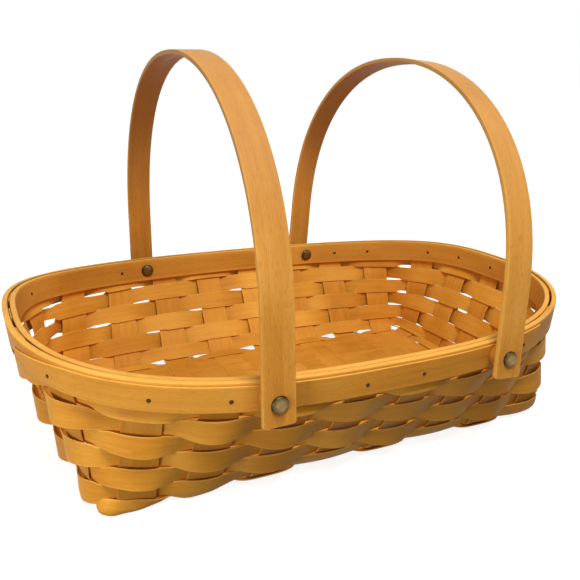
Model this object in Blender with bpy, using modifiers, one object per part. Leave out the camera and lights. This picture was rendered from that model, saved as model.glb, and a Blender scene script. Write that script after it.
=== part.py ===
"""A splint-woven mushroom foraging basket with two swing handles.

The frame has +X to the right end, +Y to the far side and +Z up. Its origin is on the ground
under the middle of the basket. Stake places are counted anticlockwise from above: 0 to 7 along
the front, 8 to 12 up the right end, 13 to 20 along the far side and 21 to 25 down the left end.
"""

import math

import bmesh
import bpy
import numpy as np
from mathutils import Vector

# Rim, measured over the outer band
RIM_LENGTH = 0.480
RIM_WIDTH = 0.3608
RIM_HEIGHT = 0.1007
RIM_END_RISE = 0.0131
RIM_ROUNDNESS_SHARE = 2.66
RIM_SOFT_RISE_SHARE = 0.19

# Base, measured to the edge where the base and wall planes meet
BASE_LENGTH = 0.387
BASE_WIDTH = 0.242
BASE_CORNER_RADIUS = 0.013
BASE_FILLET = 0.010
BASE_BOW = 0.002

# Splints
SPLINT = 0.001
STAKE_WIDTH = 0.026
FILLER_GAP = 0.0005
STAKE_END_MARGIN = 0.009
STAKE_SIDE_MARGIN = 0.012
RIM_STAKE_X_SHARE = 0.7293
RIM_STAKE_Y_SHARE = 0.5471
CROSS_STAKE_COUNT = 8
LONG_STAKE_COUNT = 5
STAKE_DROP = 0.0015
WEAVE_DEPTH = 0.003
TOP_WEAVE_DEPTH = 0.0016
BASE_WAVE = 0.0023
BASE_FLAT = 0.018
FILLER_OVERRUN = 0.0095

# Weaver rows, counted from the top, as shares of the height from base to rim
WEAVER_COUNT = 7
ROW_GAP = 0.0012
TOP_ROW_SHARE = 0.860
SECOND_ROW_SHARE = 0.711
ROW_PITCH_SHARE = 0.1455
LOWEST_ROW_SHARE = 0.35
LOWEST_ROW_RISE = 0.002
STAKE_RETURN_SHARE = 0.34

# Rim bands
BAND_HEIGHT = 0.0222
BAND_THICKNESS = 0.0026
BAND_SPACE = 0.0048
BAND_LEAN = math.radians(9)
BAND_BEND = 0.015
BAND_BEND_DROP = 0.0035
COVER_THICKNESS = 0.0012
COVER_HEIGHT = 0.0185
COVER_DROP = 0.0024
COVER_TIP_HEIGHT = 0.004
COVER_START_SHARE = -1.96
COVER_TAPER_END_SHARE = -0.75
COVER_END_SHARE = 6.46

# Handles
HANDLE_WIDTH = 0.0229
HANDLE_THICKNESS = 0.0038
HANDLE_EDGE = 0.0009
HANDLE_PIVOT_SHARE = 0.3942
HANDLE_PIVOT_DROP = 0.0108
HANDLE_APEX = 0.2194
HANDLE_LEG = 0.0517
HANDLE_FOOT = 0.0148
HANDLE_FOOT_CORNER = 0.0015
HANDLE_ROUNDNESS_SHARE = 2.176
HANDLE_LEANS = {"handle_left": math.radians(-1.83), "handle_right": math.radians(4.27)}

# Rivets and the wedge washers behind the handle feet
RIVET_HEAD_RADIUS = 0.0057
RIVET_HEAD_HEIGHT = 0.0026
RIVET_SHANK_RADIUS = 0.002
HOLE_CLEARANCE = 0.0003
WASHER_RADIUS = 0.0095
WASHER_DEPTH = 0.0089

# Fits
GAP = 0.0003
CUT_OVERRUN = 0.01
MERGE = 0.00001

# How finely the shapes are divided
STATIONS_PER_STAKE = 4
CORNER_STATIONS = 6
OUTLINE_POINTS = 2400
ARC_POINTS = 8
ROUND_SIDES = 16
ARCH_STATIONS = 24

STAKE_COUNT = 2 * (CROSS_STAKE_COUNT + LONG_STAKE_COUNT)
BASE_MID_Z = BASE_WAVE + SPLINT / 2
BAND_OUTSET = (BAND_SPACE + BAND_THICKNESS) / 2
COVER_OUTSET = BAND_SPACE / 2 + BAND_THICKNESS + GAP + COVER_THICKNESS / 2
HALF_WALL = (BAND_SPACE / 2 + BAND_THICKNESS) / math.cos(BAND_LEAN)
OUTER_STAKE_X = BASE_LENGTH / 2 - STAKE_END_MARGIN - STAKE_WIDTH / 2
OUTER_STAKE_Y = BASE_WIDTH / 2 - STAKE_SIDE_MARGIN - STAKE_WIDTH / 2
CROSS_STAKE_PITCH = 2 * OUTER_STAKE_X / (CROSS_STAKE_COUNT - 1)
LONG_STAKE_PITCH = 2 * OUTER_STAKE_Y / (LONG_STAKE_COUNT - 1)
FILLER_WIDTH = LONG_STAKE_PITCH - STAKE_WIDTH - 2 * FILLER_GAP
FLAT_START_X = OUTER_STAKE_X - STAKE_WIDTH / 2
RIM_MID_X = RIM_LENGTH / 2 - HALF_WALL
RIM_MID_Y = RIM_WIDTH / 2 - HALF_WALL
HANDLE_PIVOT_X = HANDLE_PIVOT_SHARE * RIM_MID_X


def clear_scene():
    for obj in list(bpy.data.objects):
        bpy.data.objects.remove(obj, do_unlink=True)


def collection_named(name):
    made = bpy.data.collections.new(name)
    bpy.context.scene.collection.children.link(made)
    return made


def material_named(name, colour, roughness, metallic=0.0):
    made = bpy.data.materials.new(name)
    made.use_nodes = True
    shader = made.node_tree.nodes["Principled BSDF"]
    shader.inputs["Base Color"].default_value = (*colour, 1.0)
    shader.inputs["Roughness"].default_value = roughness
    shader.inputs["Metallic"].default_value = metallic
    return made


def stake_wood():
    return material_named("stake_splint", (0.66, 0.34, 0.12), 0.6)


def weaver_wood():
    return material_named("weaver_splint", (0.74, 0.40, 0.16), 0.6)


def band_wood():
    return material_named("band_wood", (0.74, 0.41, 0.17), 0.55)


def handle_wood():
    return material_named("handle_wood", (0.62, 0.31, 0.12), 0.5)


def washer_wood():
    return material_named("washer_wood", (0.55, 0.28, 0.11), 0.6)


def rivet_brass():
    return material_named("antique_brass", (0.36, 0.29, 0.17), 0.35, 1.0)


# Outlines: the base edge and the middle of the wall at the rim, both anticlockwise from (-X, 0)


def superellipse_points():
    turn = np.linspace(math.pi, 3 * math.pi, OUTLINE_POINTS + 1)
    power = 2 / RIM_ROUNDNESS_SHARE
    across = np.sign(np.cos(turn)) * np.abs(np.cos(turn)) ** power
    along = np.sign(np.sin(turn)) * np.abs(np.sin(turn)) ** power
    return np.stack([RIM_MID_X * across, RIM_MID_Y * along], axis=1)


def rounded_rectangle_points():
    length, width = BASE_LENGTH / 2, BASE_WIDTH / 2
    inset_x, inset_y = length - BASE_CORNER_RADIUS, width - BASE_CORNER_RADIUS
    points = [(-length, 0.0)]
    corners = ((-inset_x, -inset_y), (inset_x, -inset_y), (inset_x, inset_y), (-inset_x, inset_y))
    for quarter, (x, y) in enumerate(corners):
        for turn in np.linspace(0, math.pi / 2, 4 * ARC_POINTS + 1):
            angle = math.pi + quarter * math.pi / 2 + turn
            points.append(
                (
                    x + BASE_CORNER_RADIUS * math.cos(angle),
                    y + BASE_CORNER_RADIUS * math.sin(angle),
                )
            )
    points.append((-length, 0.0))
    return np.array(points)


def arc_lengths(points):
    return np.concatenate([[0], np.cumsum(np.linalg.norm(np.diff(points, axis=0), axis=1))])


def stake_share(index):
    """The axis that a stake is placed on, its share of the outer stake's place, and its side."""
    index = index % STAKE_COUNT
    cross_step = 2 / (CROSS_STAKE_COUNT - 1)
    long_step = 2 / (LONG_STAKE_COUNT - 1)
    if index < CROSS_STAKE_COUNT:
        return 0, cross_step * index - 1, -1
    index -= CROSS_STAKE_COUNT
    if index < LONG_STAKE_COUNT:
        return 1, long_step * index - 1, 1
    index -= LONG_STAKE_COUNT
    if index < CROSS_STAKE_COUNT:
        return 0, 1 - cross_step * index, 1
    index -= CROSS_STAKE_COUNT
    return 1, 1 - long_step * index, -1


class Outline:
    """A closed outline that knows how far round it each stake stands."""

    def __init__(self, points, outer_x, outer_y):
        self.points = points
        self.outer = (outer_x, outer_y)
        self.arcs = arc_lengths(points)
        self.total = self.arcs[-1]
        self.first = -(LONG_STAKE_COUNT // 2) - 1
        self.places = np.arange(self.first, self.first + STAKE_COUNT + 1)
        inner = [self.arc_at(place) for place in self.places[1:-1]]
        self.stake_arcs = np.array([0.0, *inner, self.total])

    def arc_at(self, place):
        axis, share, side = stake_share(place)
        value = share * self.outer[axis]
        on_side = np.nonzero(self.points[:, 1 - axis] * side > 0)[0]
        order = on_side[np.argsort(self.points[on_side, axis])]
        return float(np.interp(value, self.points[order, axis], self.arcs[order]))

    def point(self, place):
        place = (place - self.first) % STAKE_COUNT + self.first
        arc = np.interp(place, self.places, self.stake_arcs)
        return np.array([np.interp(arc, self.arcs, self.points[:, axis]) for axis in (0, 1)])

    def normal(self, place):
        """The level direction out of the outline at a place."""
        side_share = 0.01
        run = self.point(place + side_share) - self.point(place - side_share)
        return np.array([run[1], -run[0]]) / np.linalg.norm(run)

    def beside(self, place, distance):
        """The place that lies this far round the outline from a stake."""
        start = (place - self.first) % STAKE_COUNT + self.first
        arc = (np.interp(start, self.places, self.stake_arcs) + distance) % self.total
        found = np.interp(arc, self.stake_arcs, self.places)
        half = STAKE_COUNT / 2
        return place + (found - place + half) % STAKE_COUNT - half


def rim_height(x):
    share = abs(x) / (RIM_LENGTH / 2)
    soft = RIM_SOFT_RISE_SHARE * share**2
    return RIM_HEIGHT + RIM_END_RISE * (soft + (1 - RIM_SOFT_RISE_SHARE) * share**4)


def base_height(x):
    return BASE_MID_Z + BASE_BOW * max(0.0, 1 - (x / FLAT_START_X) ** 2)


def fillet_points(before, corner, after, radius):
    """Points round a corner, and the distance from the corner to where the round starts."""
    arrive = (corner - before) / np.linalg.norm(corner - before)
    leave = (after - corner) / np.linalg.norm(after - corner)
    cross = arrive[0] * leave[1] - arrive[1] * leave[0]
    turn = math.atan2(cross, float(arrive @ leave))
    tangent = radius * math.tan(abs(turn) / 2)
    side = math.copysign(1, turn)
    start = corner - tangent * arrive
    centre = start + side * radius * np.array([-arrive[1], arrive[0]])
    spoke = start - centre
    points = []
    for share in np.linspace(0, 1, ARC_POINTS + 1):
        angle = share * turn
        cos, sin = math.cos(angle), math.sin(angle)
        points.append(centre + [cos * spoke[0] - sin * spoke[1], sin * spoke[0] + cos * spoke[1]])
    return points


class Section:
    """A cut up the wall: distance along it against outward distance and height.

    Inside the base edge it runs square to that edge, and outside it towards its place on the rim.
    """

    def __init__(self, foot, square, top):
        self.foot = foot
        self.square = square
        self.top_z = rim_height(top[0])
        self.base_z = base_height(foot[0])
        reach = np.linalg.norm(top - foot)
        self.outward = (top - foot) / reach
        rise = self.top_z - self.base_z
        bend_depth = BAND_HEIGHT * math.cos(BAND_LEAN) + BAND_BEND_DROP
        bend = np.array([reach - bend_depth * math.tan(BAND_LEAN), rise - bend_depth])
        inner, corner = np.array([-BASE_WIDTH / 2, 0.0]), np.zeros(2)
        end = np.array([reach, rise])
        low = fillet_points(inner, corner, bend, BASE_FILLET)
        high = fillet_points(corner, bend, end, BAND_BEND)
        past = end + CUT_OVERRUN * (end - bend) / np.linalg.norm(end - bend)
        self.points = np.array([inner, *low, *high, end, past])
        lengths = arc_lengths(self.points)
        self.lengths = lengths - lengths[1]
        self.fillet_end = self.lengths[ARC_POINTS + 1]
        self.bend_start = self.lengths[ARC_POINTS + 2]
        self.bend_end = self.lengths[2 * ARC_POINTS + 2]
        self.rim = self.lengths[-2]

    def at_share(self, share):
        """The distance along the wall at a share of the height from base to rim."""
        rise = share * (self.top_z - self.base_z)
        return float(np.interp(rise, self.points[1:, 1], self.lengths[1:]))

    def point(self, along):
        out, up = (np.interp(along, self.lengths, self.points[:, axis]) for axis in (0, 1))
        level = self.foot + min(out, 0.0) * self.square + max(out, 0.0) * self.outward
        return np.array([*level, self.base_z + up])


BASE_OUTLINE = Outline(rounded_rectangle_points(), OUTER_STAKE_X, OUTER_STAKE_Y)
RIM_OUTLINE = Outline(
    superellipse_points(), RIM_STAKE_X_SHARE * RIM_MID_X, RIM_STAKE_Y_SHARE * RIM_MID_Y
)
HANDLE_PIVOT_Z = rim_height(HANDLE_PIVOT_X) - HANDLE_PIVOT_DROP
SECTIONS = {}


def section_at(place):
    key = round(float(place), 6)
    if key not in SECTIONS:
        foot, top = BASE_OUTLINE.point(place), RIM_OUTLINE.point(place)
        SECTIONS[key] = Section(foot, BASE_OUTLINE.normal(place), top)
    return SECTIONS[key]


def wall_normal(place, along):
    """The direction out of the basket at a point of the wall."""
    side_share, step = 0.02, SPLINT / 2
    ahead, behind = section_at(place + side_share), section_at(place - side_share)
    here = section_at(place)
    normal = np.cross(
        ahead.point(along) - behind.point(along), here.point(along + step) - here.point(along - step)
    )
    return normal / np.linalg.norm(normal)


def wall_point(place, along, outset=0.0):
    return section_at(place).point(along) + outset * wall_normal(place, along)


# Ribbons: open surfaces that a Solidify thickens to splints and bands


def ribbon(name, grid, thickness, material, collection, closed=False):
    """A strip through rows of points, one row a station, thickened both ways."""
    mesh_data = bmesh.new()
    rows = [[mesh_data.verts.new(point) for point in row] for row in grid]
    pairs = list(zip(rows, rows[1:]))
    if closed:
        pairs.append((rows[-1], rows[0]))
    for first, second in pairs:
        for a, b, c, d in zip(first, first[1:], second[1:], second):
            mesh_data.faces.new((a, b, c, d))
    mesh = bpy.data.meshes.new(name)
    mesh_data.to_mesh(mesh)
    mesh_data.free()
    mesh.materials.append(material)
    obj = bpy.data.objects.new(name, mesh)
    collection.objects.link(obj)
    solid = obj.modifiers.new("thickness", "SOLIDIFY")
    solid.thickness = thickness
    solid.offset = 0.0
    solid.use_even_offset = True
    return obj


def ring_places():
    """Places round the basket: a few at each stake space, and more round the corners."""
    corners = (
        CROSS_STAKE_COUNT - 1,
        CROSS_STAKE_COUNT + LONG_STAKE_COUNT - 1,
        STAKE_COUNT - LONG_STAKE_COUNT - 1,
        STAKE_COUNT - 1,
    )
    places = []
    for index in range(STAKE_COUNT):
        count = CORNER_STATIONS if index in corners else STATIONS_PER_STAKE
        places += [index + step / count for step in range(count)]
    return places


def weave_offset(row, place):
    """How far out of the wall's middle a weaver runs: outside one stake and inside the next.

    The top and lowest weavers lie flat over the stakes, and the others bow out from their edges.
    """
    wave = math.cos(math.pi * place)
    if 0 < row < WEAVER_COUNT - 1:
        closest_pitch = np.diff(BASE_OUTLINE.stake_arcs).min()
        edge_wave = math.cos(math.pi * STAKE_WIDTH / 2 / closest_pitch)
        power = math.log((SPLINT + GAP + 2 * GAP / 3) / WEAVE_DEPTH) / math.log(edge_wave)
        return (-1) ** row * WEAVE_DEPTH * math.copysign(abs(wave) ** power, wave)
    depth = TOP_WEAVE_DEPTH if row == 0 else BASE_WAVE
    return (-1) ** row * depth * math.tanh(2 * wave) / math.tanh(2)


def lowest_row_start(section):
    """The lowest weaver tucks under the base along the sides, and clears it round the ends."""
    corner_x = BASE_LENGTH / 2 - BASE_CORNER_RADIUS / 3
    side_share = min(1.0, max(0.0, (corner_x - abs(section.foot[0])) / BASE_CORNER_RADIUS))
    round_width = -section.points[1, 0]
    tucked = round_width - (STAKE_SIDE_MARGIN - ROW_GAP)
    return LOWEST_ROW_RISE + side_share * (tucked - LOWEST_ROW_RISE)


def row_edges(row, section):
    """The lower and upper edge of a weaver, as distances along the wall."""
    start = lowest_row_start(section)
    above = SECOND_ROW_SHARE - ROW_PITCH_SHARE * (row - 1)
    if row == 0:
        return section.at_share(SECOND_ROW_SHARE), section.at_share(TOP_ROW_SHARE)
    if row < WEAVER_COUNT - 2:
        return section.at_share(above - ROW_PITCH_SHARE), section.at_share(above)
    top = section.at_share(SECOND_ROW_SHARE - ROW_PITCH_SHARE * (WEAVER_COUNT - 3))
    split = start + LOWEST_ROW_SHARE * (top - start)
    if row == WEAVER_COUNT - 2:
        return split, top
    return start - ROW_GAP / 2, split


def weaver(row, material, collection):
    grid = []
    for place in ring_places():
        section = section_at(place)
        low, high = row_edges(row, section)
        low, high = low + ROW_GAP / 2, high - ROW_GAP / 2
        edges = [low, high]
        if row == 0:
            edges.insert(1, section.bend_end)
        if row >= WEAVER_COUNT - 2:
            edges.insert(1, (low + high) / 2)
        offset = weave_offset(row, place)
        grid.append([wall_point(place, along, offset) for along in edges])
    return ribbon(f"weaver_{row + 1}", grid, SPLINT, material, collection, closed=True)


def wall_stations(section):
    """Distances along a stake, from the start of the base's round to the stake's end."""
    back_in_wall = STAKE_RETURN_SHARE * BASE_FILLET
    low = [0, *np.linspace(back_in_wall, section.fillet_end, 3)]
    wall = np.linspace(section.fillet_end, section.bend_start, 3)[1:]
    bend = np.linspace(section.bend_start, section.bend_end, 3)[1:]
    return [*low, *wall, *bend, section.rim - STAKE_DROP]


def stake_column(index, distance):
    """Points up the wall on a line that stays this far round from the middle of a stake."""
    base_place = BASE_OUTLINE.beside(index, distance)
    rim_place = RIM_OUTLINE.beside(index, distance)
    middle = section_at(index)
    points = []
    for along, share in zip(wall_stations(middle), wall_shares(middle)):
        place = base_place + share * (rim_place - base_place)
        section = section_at(place)
        points.append(section.point(wall_stations(section)[len(points)]))
    return points


def wall_shares(section):
    stations = wall_stations(section)
    return [along / stations[-1] for along in stations]


def columns_of(index):
    """Distances of a stake's edges from its middle, with the middle too where the wall curves."""
    curved = index == 0 or index >= CROSS_STAKE_COUNT - 1
    return np.linspace(-STAKE_WIDTH / 2, STAKE_WIDTH / 2, 3 if curved else 2)


def cross_stake(number, material, collection):
    """A splint from the far rim down, across the base and up the front."""
    near = number
    far = STAKE_COUNT - LONG_STAKE_COUNT - 1 - number
    columns = []
    for distance in columns_of(near):
        far_side = stake_column(far, -distance)
        near_side = stake_column(near, distance)
        columns.append(far_side[::-1] + near_side)
    grid = list(zip(*columns))
    return ribbon(f"cross_stake_{number + 1}", grid, SPLINT, material, collection)


def base_wave_points(row, y, end_x):
    """A lengthwise splint in the base, under one cross stake and over the next."""
    points = []
    for number in range(CROSS_STAKE_COUNT):
        x = number * CROSS_STAKE_PITCH - OUTER_STAKE_X
        drop = (-1) ** (number + row + 1) * BASE_WAVE
        half_flat = min(BASE_FLAT / 2, end_x - OUTER_STAKE_X)
        for side in (-half_flat, half_flat):
            points.append((x + side, y, base_height(x + side) - drop))
        middle = x + CROSS_STAKE_PITCH / 2
        if number < CROSS_STAKE_COUNT - 1:
            points.append((middle, y, base_height(middle)))
    return [np.array(point) for point in points]


def long_stake(number, material, collection):
    """A splint from the left rim down, along the base and up the right end."""
    right = CROSS_STAKE_COUNT + number
    left = STAKE_COUNT - 1 - number
    y = number * LONG_STAKE_PITCH - OUTER_STAKE_Y
    columns = []
    for distance in columns_of(right):
        left_side = stake_column(left, -distance)[::-1]
        right_side = stake_column(right, distance)
        wave = base_wave_points(2 * number, y + distance, OUTER_STAKE_X + BASE_FLAT / 2)
        columns.append(left_side[:-1] + wave + right_side[1:])
    grid = list(zip(*columns))
    return ribbon(f"long_stake_{number + 1}", grid, SPLINT, material, collection)


def base_filler(number, material, collection):
    """A lengthwise splint that closes the base between two long stakes."""
    y = (number + 1 / 2) * LONG_STAKE_PITCH - OUTER_STAKE_Y
    columns = []
    for distance in (-FILLER_WIDTH / 2, FILLER_WIDTH / 2):
        columns.append(
            base_wave_points(2 * number + 1, y + distance, OUTER_STAKE_X + FILLER_OVERRUN)
        )
    grid = list(zip(*columns))
    return ribbon(f"base_filler_{number + 1}", grid, SPLINT, material, collection)


# Rim


def band_row(place, outset, drop, height):
    """The lower and upper edge of a band; both bands' tops stay level where the rim leans."""
    section = section_at(place)
    top = section.rim + outset * math.tan(BAND_LEAN) - drop / math.cos(BAND_LEAN)
    return [wall_point(place, top - height, outset), wall_point(place, top, outset)]


def rim_band(name, outset, material, collection):
    grid = [band_row(place, outset, 0.0, BAND_HEIGHT) for place in ring_places()]
    return ribbon(name, grid, BAND_THICKNESS, material, collection, closed=True)


def cover_band(material, collection):
    """The thin band over the front, tapered where it starts round the left end."""
    inner = [place for place in ring_places() if place < COVER_END_SHARE]
    outer = [place - STAKE_COUNT for place in ring_places()]
    places = [place for place in outer if place > COVER_START_SHARE] + inner
    grid = []
    for place in [COVER_START_SHARE, *places, COVER_END_SHARE]:
        taper = (place - COVER_START_SHARE) / (COVER_TAPER_END_SHARE - COVER_START_SHARE)
        height = COVER_TIP_HEIGHT + min(1.0, taper) * (COVER_HEIGHT - COVER_TIP_HEIGHT)
        drop = COVER_DROP + (COVER_HEIGHT - height) / 2
        grid.append(band_row(place, COVER_OUTSET, drop, height))
    return ribbon("cover_band", grid, COVER_THICKNESS, material, collection)


def face_at_pivot(outset):
    """Where the line through a rivet meets a face of the rim, and that face's normal."""
    place, along = CROSS_STAKE_COUNT - 2.0, section_at(CROSS_STAKE_COUNT - 2.0).rim
    target = np.array([HANDLE_PIVOT_X, HANDLE_PIVOT_Z])
    for _ in range(2 * ARC_POINTS):
        here = wall_point(place, along, outset)[[0, 2]]
        side_share = 0.01
        step_place = (wall_point(place + side_share, along, outset)[[0, 2]] - here) / side_share
        step_along = (wall_point(place, along + SPLINT, outset)[[0, 2]] - here) / SPLINT
        change = np.linalg.solve(np.stack([step_place, step_along], axis=1), target - here)
        place += change[0]
        along += change[1]
    return wall_point(place, along, outset), wall_normal(place, along)


def hinge_rod(side, collection):
    """A cutter along one hinge axis, through both walls and both feet of the handle."""
    radius = RIVET_SHANK_RADIUS + HOLE_CLEARANCE
    bpy.ops.mesh.primitive_cylinder_add(
        vertices=ROUND_SIDES,
        radius=radius,
        depth=RIM_WIDTH + 2 * (HANDLE_THICKNESS + WASHER_DEPTH + CUT_OVERRUN),
        location=(side * HANDLE_PIVOT_X, 0.0, HANDLE_PIVOT_Z),
        rotation=(math.pi / 2, 0.0, 0.0),
    )
    rod = bpy.context.object
    rod.name = "hinge_rod_right" if side > 0 else "hinge_rod_left"
    for owner in list(rod.users_collection):
        owner.objects.unlink(rod)
    collection.objects.link(rod)
    rod.hide_render = True
    rod.display_type = "WIRE"
    return rod


def drill(obj, rod):
    cut = obj.modifiers.new(rod.name, "BOOLEAN")
    cut.operation = "DIFFERENCE"
    cut.solver = "EXACT"
    cut.object = rod


# Handles and their rivets and washers


def handle_inner_y():
    face, _ = face_at_pivot(COVER_OUTSET + COVER_THICKNESS / 2)
    return -face[1] + GAP + WASHER_DEPTH + GAP


def arch_rows():
    """Height and half-width stations of a handle, from one foot over the arch to the other."""
    middle_y = handle_inner_y() + HANDLE_THICKNESS / 2
    rise = HANDLE_APEX + HANDLE_THICKNESS / 2 - HANDLE_LEG
    power = 2 / HANDLE_ROUNDNESS_SHARE
    half = HANDLE_WIDTH / 2
    leg = [
        (middle_y, -HANDLE_FOOT, half - HANDLE_FOOT_CORNER),
        (middle_y, -HANDLE_FOOT + HANDLE_FOOT_CORNER, half),
    ]
    arch = []
    for turn in np.linspace(0, math.pi, ARCH_STATIONS + 1):
        across = math.copysign(abs(math.cos(turn)) ** power, math.cos(turn))
        arch.append((middle_y * across, HANDLE_LEG + rise * math.sin(turn) ** power, half))
    far_leg = [(-y, z, half_width) for y, z, half_width in reversed(leg)]
    return leg + arch + far_leg


def handle(name, side, rods, material, collection):
    """One bent strip whose origin is on its hinge axis, leaning as it stands."""
    grid = [[(-half, y, z), (half, y, z)] for y, z, half in arch_rows()]
    obj = ribbon(name, grid, HANDLE_THICKNESS, material, collection)
    edges = obj.modifiers.new("edges", "BEVEL")
    edges.width = HANDLE_EDGE
    edges.segments = 1
    edges.limit_method = "ANGLE"
    edges.angle_limit = math.radians(60)
    drill(obj, rods[side])
    obj.location = (side * HANDLE_PIVOT_X, 0.0, HANDLE_PIVOT_Z)
    obj.rotation_euler = (0.0, HANDLE_LEANS[name], 0.0)
    return obj


def head_profile(radius, height, level, outward):
    """A domed head's outline, from its crown to its rim or the other way round."""
    points = []
    for turn in np.linspace(0, math.pi / 2, ARC_POINTS // 2 + 1):
        points.append((radius * math.sin(turn), level + outward * height * math.cos(turn)))
    return points


def rivet(name, side, front, material, collection):
    """Turned about its own Z axis, which points out of the basket."""
    inner_face, normal = face_at_pivot(-BAND_OUTSET - BAND_THICKNESS / 2)
    slant = math.hypot(normal[0], normal[2]) / abs(normal[1])
    outer_y = handle_inner_y() + HANDLE_THICKNESS + GAP
    inner_y = -inner_face[1] - slant * RIVET_HEAD_RADIUS - GAP
    outer = head_profile(RIVET_HEAD_RADIUS, RIVET_HEAD_HEIGHT, 0.0, 1)
    inner = head_profile(RIVET_HEAD_RADIUS, RIVET_HEAD_HEIGHT, inner_y - outer_y, -1)
    shank = [(RIVET_SHANK_RADIUS, 0.0), (RIVET_SHANK_RADIUS, inner_y - outer_y)]
    profile = outer + shank + inner[::-1]
    mesh = bpy.data.meshes.new(name)
    mesh.from_pydata(
        [(radius, 0.0, level) for radius, level in profile],
        [(index, index + 1) for index in range(len(profile) - 1)],
        [],
    )
    mesh.materials.append(material)
    obj = bpy.data.objects.new(name, mesh)
    collection.objects.link(obj)
    screw = obj.modifiers.new("turn", "SCREW")
    screw.axis = "Z"
    screw.steps = ROUND_SIDES
    screw.render_steps = ROUND_SIDES
    screw.use_merge_vertices = True
    screw.merge_threshold = MERGE
    screw.use_smooth_shade = True
    obj.location = (side * HANDLE_PIVOT_X, front * outer_y, HANDLE_PIVOT_Z)
    obj.rotation_euler = (-front * math.pi / 2, 0.0, 0.0)
    return obj


def washer(name, side, front, rods, material, collection):
    """A round wedge: flat against the handle's foot and slanted to lie along the rim's face."""
    outset = COVER_OUTSET + COVER_THICKNESS / 2 if front < 0 else BAND_OUTSET + BAND_THICKNESS / 2
    face, normal = face_at_pivot(outset)
    outer_y = -handle_inner_y() + GAP
    mesh_data = bmesh.new()
    bmesh.ops.create_cone(
        mesh_data,
        cap_ends=True,
        segments=ROUND_SIDES + ROUND_SIDES // 2,
        radius1=WASHER_RADIUS,
        radius2=WASHER_RADIUS,
        depth=WASHER_DEPTH,
    )
    for vert in mesh_data.verts:
        x, z = vert.co.x, vert.co.y
        slanted_y = face[1] - GAP - (normal[0] * x + normal[2] * z) / normal[1]
        y = outer_y if vert.co.z < 0 else slanted_y
        vert.co = Vector((side * x, -front * y, z))
    bmesh.ops.recalc_face_normals(mesh_data, faces=mesh_data.faces)
    mesh = bpy.data.meshes.new(name)
    mesh_data.to_mesh(mesh)
    mesh_data.free()
    mesh.materials.append(material)
    mesh.shade_smooth()
    mesh.set_sharp_from_angle(angle=math.radians(40))
    obj = bpy.data.objects.new(name, mesh)
    collection.objects.link(obj)
    obj.location = (side * HANDLE_PIVOT_X, 0.0, HANDLE_PIVOT_Z)
    drill(obj, rods[side])
    return obj


def main():
    clear_scene()
    basket = collection_named("mushroom_foraging_basket")
    cutters = collection_named("cutters")
    rods = {side: hinge_rod(side, cutters) for side in (-1, 1)}
    stakes, weavers, bands = stake_wood(), weaver_wood(), band_wood()
    handles, washers, brass = handle_wood(), washer_wood(), rivet_brass()
    for number in range(CROSS_STAKE_COUNT):
        cross_stake(number, stakes, basket)
    for number in range(LONG_STAKE_COUNT):
        long_stake(number, stakes, basket)
    for number in range(LONG_STAKE_COUNT - 1):
        base_filler(number, stakes, basket)
    for row in range(WEAVER_COUNT):
        weaver(row, weavers, basket)
    drilled = [
        rim_band("inner_band", -BAND_OUTSET, bands, basket),
        rim_band("outer_band", BAND_OUTSET, bands, basket),
        cover_band(bands, basket),
    ]
    for obj in drilled:
        for rod in rods.values():
            drill(obj, rod)
    for name, side in (("handle_left", -1), ("handle_right", 1)):
        handle(name, side, rods, handles, basket)
    for end, side in (("left", -1), ("right", 1)):
        for face, front in (("front", -1), ("back", 1)):
            rivet(f"rivet_{face}_{end}", side, front, brass, basket)
            washer(f"washer_{face}_{end}", side, front, rods, washers, basket)


main()
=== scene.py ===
"""The looks of the splint-woven mushroom foraging basket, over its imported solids.

Lengths are in metres, +X is the right end, +Y the far side and +Z up. The stake places are
counted anticlockwise from above: 0 to 7 along the front, 8 to 12 up the right end, 13 to 20
along the far side and 21 to 25 down the left end. A place between two stakes is a fraction.
"""

import math

import bmesh
import bpy
import numpy as np
from mathutils import Matrix, Vector


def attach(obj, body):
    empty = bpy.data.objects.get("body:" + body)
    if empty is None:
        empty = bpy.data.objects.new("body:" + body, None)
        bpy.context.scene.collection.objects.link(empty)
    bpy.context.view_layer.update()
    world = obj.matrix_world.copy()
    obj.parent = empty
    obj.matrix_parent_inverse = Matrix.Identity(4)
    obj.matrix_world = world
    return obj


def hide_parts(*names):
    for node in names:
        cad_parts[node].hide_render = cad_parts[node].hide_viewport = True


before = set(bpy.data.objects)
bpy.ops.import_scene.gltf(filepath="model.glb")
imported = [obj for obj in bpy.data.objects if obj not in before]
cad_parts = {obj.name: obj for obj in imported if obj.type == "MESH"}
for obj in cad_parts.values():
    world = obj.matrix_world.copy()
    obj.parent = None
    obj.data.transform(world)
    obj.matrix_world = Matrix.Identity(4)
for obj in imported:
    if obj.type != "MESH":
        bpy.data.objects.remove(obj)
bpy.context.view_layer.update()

# Rim, measured over the outer band
RIM_LENGTH = 0.480
RIM_WIDTH = 0.3608
RIM_HEIGHT = 0.1007
RIM_END_RISE = 0.0131
RIM_ROUNDNESS_SHARE = 2.66
RIM_SOFT_RISE_SHARE = 0.19

# Base, measured to the edge where the base and wall planes meet
BASE_LENGTH = 0.387
BASE_WIDTH = 0.242
BASE_CORNER_RADIUS = 0.013
BASE_FILLET = 0.010
BASE_BOW = 0.002

# Stakes; the first one's shifts round the corner are at the base and at the rim
SPLINT = 0.001
SPLINT_EDGE = 0.0003
STAKE_WIDTH = 0.026
STAKE_END_MARGIN = 0.009
STAKE_SIDE_MARGIN = 0.012
RIM_STAKE_X_SHARE = 0.7293
RIM_STAKE_Y_SHARE = 0.5471
CROSS_STAKE_COUNT = 8
LONG_STAKE_COUNT = 5
STAKE_DROP = 0.0015
STAKE_RETURN_SHARE = 0.34
STAKE_BOW = 0.0008
STAKE_BOW_TOP_SHARE = 0.88
FIRST_STAKE_SHIFTS = (0.003, 0.0055)
FIRST_CROSSING_SHIFT = 0.09

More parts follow.
